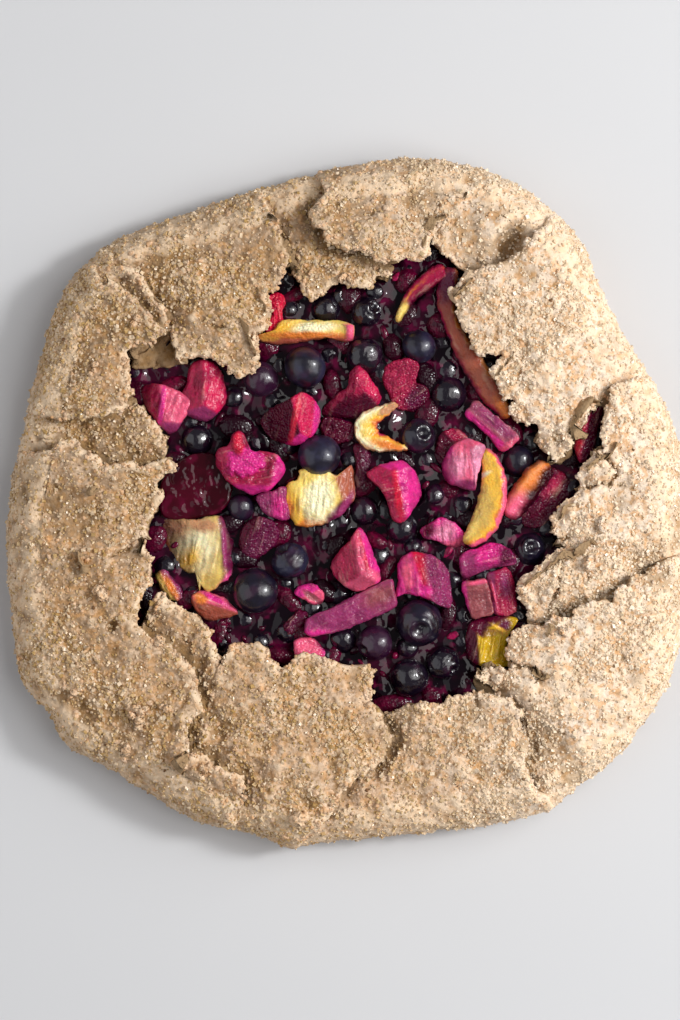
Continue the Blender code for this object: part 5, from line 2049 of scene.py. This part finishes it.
        (), 130, 0.3, raised=0.8, label="bit_crimson"),
    Strip("filling", Slot.JAM, ((-20, -45), (-16.5, -41.4), (-12.6, -37.6)), (2.2, 2.8, 2.2), (
        (-1, T.WINE), (0, T.PLUM), (1, T.WINE)), 2.4, ribbed=0.5, strand=1.2, wet=0.4, raised=1.0,
        label="bit_ribbed"),
)


@dataclass(frozen=True)
class Berry:
    """A blueberry with a five-lobed crown at its +Z pole; the frame gives its place and size."""

    node: str
    crown: float = 0.0          # bearing that the crown faces
    lean: float = 150.0         # degrees that it leans from straight up
    look: BerryLook = BerryLook.DARK
    wrinkle: float = 0.3

    def build(self, seed: int, finishes: dict[BerryLook, bpy.types.Material]) -> None:
        """Shapes and places the berry.

        Args:
            seed: Sets its unevenness.
            finishes: The material for each look.
        """
        low, high = (np.array(corner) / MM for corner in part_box(self.node))
        radius = (high - low)[:2].mean() / 2
        middle = (*((low + high)[:2] / 2), high[2] - radius)
        mesh = started(bmesh.ops.create_uvsphere, u_segments=48, v_segments=32, radius=1.0)
        places, crown = berry_shape(vert_array(mesh), radius, seed, self.wrinkle)
        turn = Matrix.Rotation(-math.radians(self.crown), 3, "Z") @ Matrix.Rotation(
            -math.radians(self.lean), 3, "X")
        move_verts(mesh, (places @ np.array(turn).T + middle) * MM)
        paint_verts(mesh, "crown", crown)
        put_piece(self.node + "_skin", mesh, finishes[self.look], Slot.BERRY, [self.node])


def berry_shape(unit: Points, radius: float, seed: int, wrinkle: float) -> tuple[Points, Points]:
    """Turns a unit sphere's points into a blueberry's.

    Args:
        unit: Array of shape (n, 3).
        radius: The berry's radius, in millimetres.
        seed: Sets its unevenness.
        wrinkle: How shrivelled it is, 0 to 1.

    Returns:
        Places in millimetres and how far each lies inside the crown, 0 to 1.
    """
    noise = Noise(seed)
    polar = np.arccos(np.clip(unit[:, 2], -1, 1))
    turn = np.arctan2(unit[:, 1], unit[:, 0])
    lobes = 0.5 + 0.5 * np.cos(5 * turn + seed)
    lip = np.exp(-((polar - 0.44) / 0.09) ** 2) * (0.3 + 0.7 * lobes)
    reach = 1 + 0.10 * lip - 0.30 * ease(0.42, 0.16, polar)
    spot = unit * radius * MM + seed
    reach += 0.05 * noise.rough(spot, 9 * MM, 2)
    reach -= wrinkle * 0.09 * np.abs(noise.rough(spot + 0.3, 3.0 * MM, 2))
    reach += wrinkle * 0.02 * np.cos(22 * polar) * ease(1.6, 0.7, polar)
    return unit * reach[:, None] * (1, 1, 0.93) * radius, ease(0.40, 0.2, polar)


B = BerryLook

# rows of bearing, lean, look and wrinkle
BERRIES = tuple(Berry(f"blueberry_{number:02}", *row) for number, row in enumerate((
    (40, 130, B.DUSTY, 0.1), (200, 130, B.DUSTY, 0.1), (150, 150, B.DARK, 0.1),
    (330, 60, B.DUSTY, 0.9), (0, 150, B.PURPLE), (60, 40, B.WET, 0.8), (0, 150, B.WET, 0.5),
    (20, 100, B.DUSTY, 0.2), (0, 150, B.WET, 0.5), (60, 25, B.DARK, 0.4), (170, 20, B.DARK, 0.5),
    (240, 60, B.PURPLE, 0.6), (0, 150, B.WET, 0.5), (120, 60, B.WET, 0.9), (20, 10, B.DARK, 1.0),
    (0, 150, B.DARK), (0, 150, B.WET), (0, 150, B.DARK), (0, 150, B.WET), (0, 150, B.WET, 0.7),
    (0, 150, B.WET, 0.7), (0, 150, B.WET)), start=1))


@dataclass(frozen=True)
class Sunken:
    """The smaller fruit between the pieces that have nodes, sunk in the syrup."""

    level: float = 16.2         # about how high it stands
    tries: int = 2600           # how many places are tried for its berries
    radii: tuple[float, float] = (3.6, 5.6)
    spacing: float = 8.8        # least distance between two berries' middles
    slab_spacing: float = 10.5  # and between two slabs'
    shred_count: int = 110
    seed: int = 61
    small: tuple[tuple[float, float, float], ...] = (
        (40.8, -1.0, 4.3), (-0.7, 70, 4.2), (-18.7, 65.6, 4.2), (34, 54.4, 4.2), (30.9, -66, 3.8),
        (41.1, -38.8, 3.8), (-5.4, -15.3, 4.2), (31, 2, 4.4), (36, -5, 3.8), (-30, 20, 4.4),
        (-10, -9, 4.0))

    def clear(self, plan: Points, margin: float, shift: Points) -> Points:
        """Whether plan points are free of the berries and cut pieces with nodes.

        Args:
            plan: Points on the tables' plan.
            margin: Least distance from a berry; unless it is above 0, cut pieces don't count.
            shift: From the tables' plan to the frame's.

        Returns:
            One truth value for each point.
        """
        free = np.ones(len(plan), dtype=bool)
        for morsel in MORSELS:
            if isinstance(morsel, Chunk) and margin > 0:
                curve = through(np.array(morsel.corners, dtype=float), True, 3)
                free &= ~inside(plan, np.vstack([curve, curve[:1]]))
        plan = plan + shift
        for berry in BERRIES:
            low, high = (np.array(corner[:2]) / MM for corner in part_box(berry.node))
            away = np.linalg.norm(plan - (low + high) / 2, axis=1)
            free &= away > (high - low).mean() / 2 + margin
        return free

    def places(self, loop: Points, shift: Points) -> Points:
        """Picks the berries: x, y and radius."""
        rng = np.random.default_rng(self.seed)
        low, high = loop.min(axis=0), loop.max(axis=0)
        spots = rng.uniform(low, high, (self.tries, 2))
        spots = np.column_stack([spots, rng.uniform(*self.radii, self.tries)])
        spots = spots[inside(spots[:, :2], loop) & self.clear(spots[:, :2], 1.0, shift)]
        return thinned(list(np.array(self.small)), spots, self.spacing)

    def spots(
        self, rng: np.random.Generator, loop: Points, shift: Points, count: int, margin: float
    ) -> Points:
        """Those of count random places in the loop that are clear of the pieces with nodes."""
        spots = rng.uniform(loop.min(axis=0), loop.max(axis=0), (count, 2))
        return spots[inside(spots, loop) & self.clear(spots, margin, shift)]

    def build(self, loop: Points, shift: Points, skin: bpy.types.Material) -> Points:
        """Builds the sunk fruit.

        Args:
            loop: The closed outline of the hole in the crust, in millimetres.
            shift: From the tables' plan to the frame's.
            skin: The berries' material.

        Returns:
            The berries' x, y and radius.
        """
        rng = np.random.default_rng(self.seed + 1)
        picked = self.places(loop, shift)
        self.berries(rng, picked, shift, skin)
        self.slabs(rng, loop, shift)
        self.shreds(rng, loop, shift)
        return picked

    def berries(
        self, rng: np.random.Generator, picked: Points, shift: Points, skin: bpy.types.Material
    ) -> None:
        """Builds the sunk berries, whose x, y and radius were picked, as one mesh."""
        whole = started(bmesh.ops.create_uvsphere, u_segments=26, v_segments=18, radius=1.0)
        unit = vert_array(whole)
        shapes, crowns = [], []
        for (x, y, radius), turn in zip(picked, turns(rng, len(picked))):
            shape, crown = berry_shape(unit, radius, int(1e3 + 7 * x + y), 0.9)
            top = self.level + rng.uniform(-1.6, 1.2)
            shapes.append(shape @ turn.T + (x + shift[0], y + shift[1], top - radius))
            crowns.append(crown)
        data = joined("berries_sunk", whole, np.array(shapes) * MM)
        mark_data(data, "crown", np.concatenate(crowns))
        put_data("berries_sunk", data, skin, Slot.BERRY, ["filling"])

    def slabs(self, rng: np.random.Generator, loop: Points, shift: Points) -> None:
        """Builds the large sunk pieces of cut fruit as one mesh."""
        spots = self.spots(rng, loop, shift, 900, 2.0)
        spots = thinned([spots[0]], spots, self.slab_spacing)
        count = len(spots)
        sizes = rng.uniform((9.0, 5.5, 4.5), (15.0, 9.0, 6.5), (count, 3)) * MM
        heights = self.level - 0.5 * sizes[:, 2:] / MM + rng.uniform(-0.6, 0.9, (count, 1))
        places = np.column_stack([spots + shift, heights]) * MM
        data = scatter("fruit_sunk", ball(3), places, sizes, 89, 0.035, level=True)
        pulp = ScrapFinish("fruit_sunk", magenta=(0.16, 0.002, 0.03), pebbly=0.22).material()
        put_data("fruit_sunk", data, pulp, Slot.JAM, ["filling"])

    def shreds(self, rng: np.random.Generator, loop: Points, shift: Points) -> None:
        """Builds the shreds between them as one mesh."""
        spots = self.spots(rng, loop, shift, 12 * self.shred_count, -0.6)[:self.shred_count]
        sizes = rng.uniform((2.0, 1.4, 1.0), (6.5, 3.0, 2.2), (len(spots), 3)) * MM
        heights = rng.uniform(self.level - 2.6, self.level - 0.9, (len(spots), 1))
        places = np.column_stack([spots + shift, heights]) * MM
        data = scatter("fruit_scraps", ball(2), places, sizes, 88, 0.05, level=True)
        put_data("fruit_scraps", data, ScrapFinish().material(), Slot.JAM, ["filling"])


# ---- jam ----------------------------------------------------------------------------


def opening() -> Points:
    """The closed loop of corners round the hole in the crust."""
    corners = [corner for seam, flap in FOLDS for corner in (seam.corners[-1], *flap.edge)]
    return np.array([*corners, corners[0]], dtype=float)


@dataclass
class JamBed:
    """The syrup between the fruit: a lumpy wet surface, closed underneath."""

    cells: int = 260
    level: float = 14.2
    bottom: float = 9.0
    highest: float = 16.8
    tuck: float = 7.0               # how far it runs on under the flaps
    swell: Noise = field(default_factory=lambda: Noise(5))

    def build(self, loop: Points, shift: Points, sunken: Points) -> None:
        """Builds the jam where the crust leaves it open, and a little under the flaps.

        Args:
            loop: The closed outline of the hole in the crust, in millimetres.
            shift: From the tables' plan to the frame's.
            sunken: The x, y and radius of the berries that the jam clings to.
        """
        middle = (loop.max(axis=0) + loop.min(axis=0)) / 2
        half = (loop.max(axis=0) - loop.min(axis=0)).max() / 2 + 8
        mesh = started(bmesh.ops.create_grid, x_segments=self.cells, y_segments=self.cells,
                       size=half)
        flat = vert_array(mesh)
        flat[:, :2] += middle
        spot = flat * MM
        height = self.level + 0.9 * self.swell.rough(spot, 12 * MM, 2)
        height += 0.3 * self.swell.rough(spot + 0.4, 5.0 * MM, 2)
        for x, y, radius in sunken:
            away = np.hypot(flat[:, 0] - x, flat[:, 1] - y)
            height += 0.9 * np.exp(-np.maximum(away - 0.8 * radius, 0.0) / 1.3)
        away, _ = Line(tuple(map(tuple, loop))).measure(flat[:, :2])
        flat[:, 2] = np.minimum(height, self.highest)
        outside = (np.abs(away) > self.tuck) & ~inside(flat[:, :2], loop)
        move_verts(mesh, (flat + (*shift, 0.0)) * MM)
        mesh.verts.ensure_lookup_table()
        lost = [mesh.verts[k] for k in np.flatnonzero(outside)]
        bmesh.ops.delete(mesh, geom=lost, context="VERTS")
        rim = [edge for edge in mesh.edges if edge.is_boundary]
        skirt = bmesh.ops.extrude_edge_only(mesh, edges=rim)["geom"]
        for vert in grown_verts(skirt):
            vert.co.z = self.bottom * MM
        bmesh.ops.holes_fill(mesh, edges=[edge for edge in mesh.edges if edge.is_boundary])
        bmesh.ops.recalc_face_normals(mesh, faces=mesh.faces)
        put_piece("jam_surface", mesh, JamFinish().material(), Slot.JAM, ["filling"])


# ---- stage --------------------------------------------------------------------------


@dataclass
class Stage:
    """The floor, the window light from the right, and the camera overhead."""

    frame_width: float = 231.2      # millimetres across the view
    distance: float = 1150.0
    aim_height: float = 20.0
    shift: tuple[float, float] = (-2.4, -2.4)
    sensor: float = 36.0            # width of the camera's sensor, millimetres

    def build(self) -> None:
        """Builds the stage."""
        self.floor()
        self.light("window", (0.86, 0.09, 0.95), 1.4, 14.4, (1.0, 0.985, 0.965))
        self.light("glint", (1.05, 0.2, 1.0), 0.26, 12.5, (0.98, 0.99, 1.0))
        self.light("fill", (-1.1, -0.1, 0.65), 2.0, 8.8, (0.96, 0.97, 1.0))
        world = bpy.data.worlds.new("room")
        world.use_nodes = True
        sky = world.node_tree.nodes["Background"].inputs
        sky["Color"].default_value = (0.95, 0.97, 1.0, 1.0)
        sky["Strength"].default_value = 0.17
        bpy.context.scene.world = world
        bpy.context.scene.view_settings.view_transform = "Standard"
        self.camera()

    def floor(self) -> None:
        """A plain pale floor."""
        mesh = started(bmesh.ops.create_grid, x_segments=2, y_segments=2, size=3.0)
        floor = put_piece("floor", mesh, PaperFinish().material(), None)

    @staticmethod
    def light(
        name: str, place: tuple[float, float, float], size: float, power: float, tint: Colour
    ) -> None:
        """A square area light aimed at the galette.

        Args:
            name: The light's name.
            place: Where it stands.
            size: Its side, in metres.
            power: Its power, in watts.
            tint: Its colour.
        """
        lamp = bpy.data.lights.new(name, "AREA")
        lamp.size = size
        lamp.energy = power
        lamp.color = tint
        holder = bpy.data.objects.new(name, lamp)
        holder.location = place
        holder.rotation_euler = (-Vector(place)).to_track_quat("-Z", "Y").to_euler()
        bpy.context.scene.collection.objects.link(holder)

    def camera(self) -> None:
        """The camera straight overhead."""
        lens = bpy.data.cameras.new("overhead")
        lens.sensor_fit = "HORIZONTAL"
        lens.sensor_width = self.sensor
        lens.lens = self.sensor * (self.distance - self.aim_height) / self.frame_width
        holder = bpy.data.objects.new("overhead", lens)
        holder.location = Vector((*self.shift, self.distance)) * MM
        bpy.context.scene.collection.objects.link(holder)
        bpy.context.scene.camera = holder


def main() -> None:
    """Builds the galette round its frame, and the stage round the galette."""
    logging.basicConfig(level=logging.INFO)
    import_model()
    crust = Crust()
    crust.build()
    for topping in TOPPINGS:
        topping.build(crust)
    strew_clumps(crust)
    loop = opening()
    skins = {look: look.value.material() for look in BerryLook}
    peach = FruitFinish("peach_pulp", pale=(1.0, 0.85, 0.55), mottle=0.22, groove=0.16)
    pulps = {Slot.RHUBARB: FruitFinish("rhubarb_pulp").material(), Slot.PEACH: peach.material()}
    pulps[Slot.JAM] = pulps[Slot.RHUBARB]
    soaked = JamFinish("soaked_peach", (0.030, 0.0005, 0.004), (0.06, 0.001, 0.009),
                       (0.10, 0.002, 0.02)).material()
    sunken = Sunken().build(loop, crust.shift, skins[BerryLook.WET])
    JamBed().build(loop, crust.shift, sunken)
    for seed, berry in enumerate(BERRIES, start=100):
        berry.build(seed, skins)
    for seed, morsel in enumerate(MORSELS, start=200):
        pulp = soaked if morsel.node == "peach_11" else pulps[morsel.slot]
        morsel.build(seed, crust.shift, pulp)
    Stage().build()


if __name__ == "__main__":
    main()
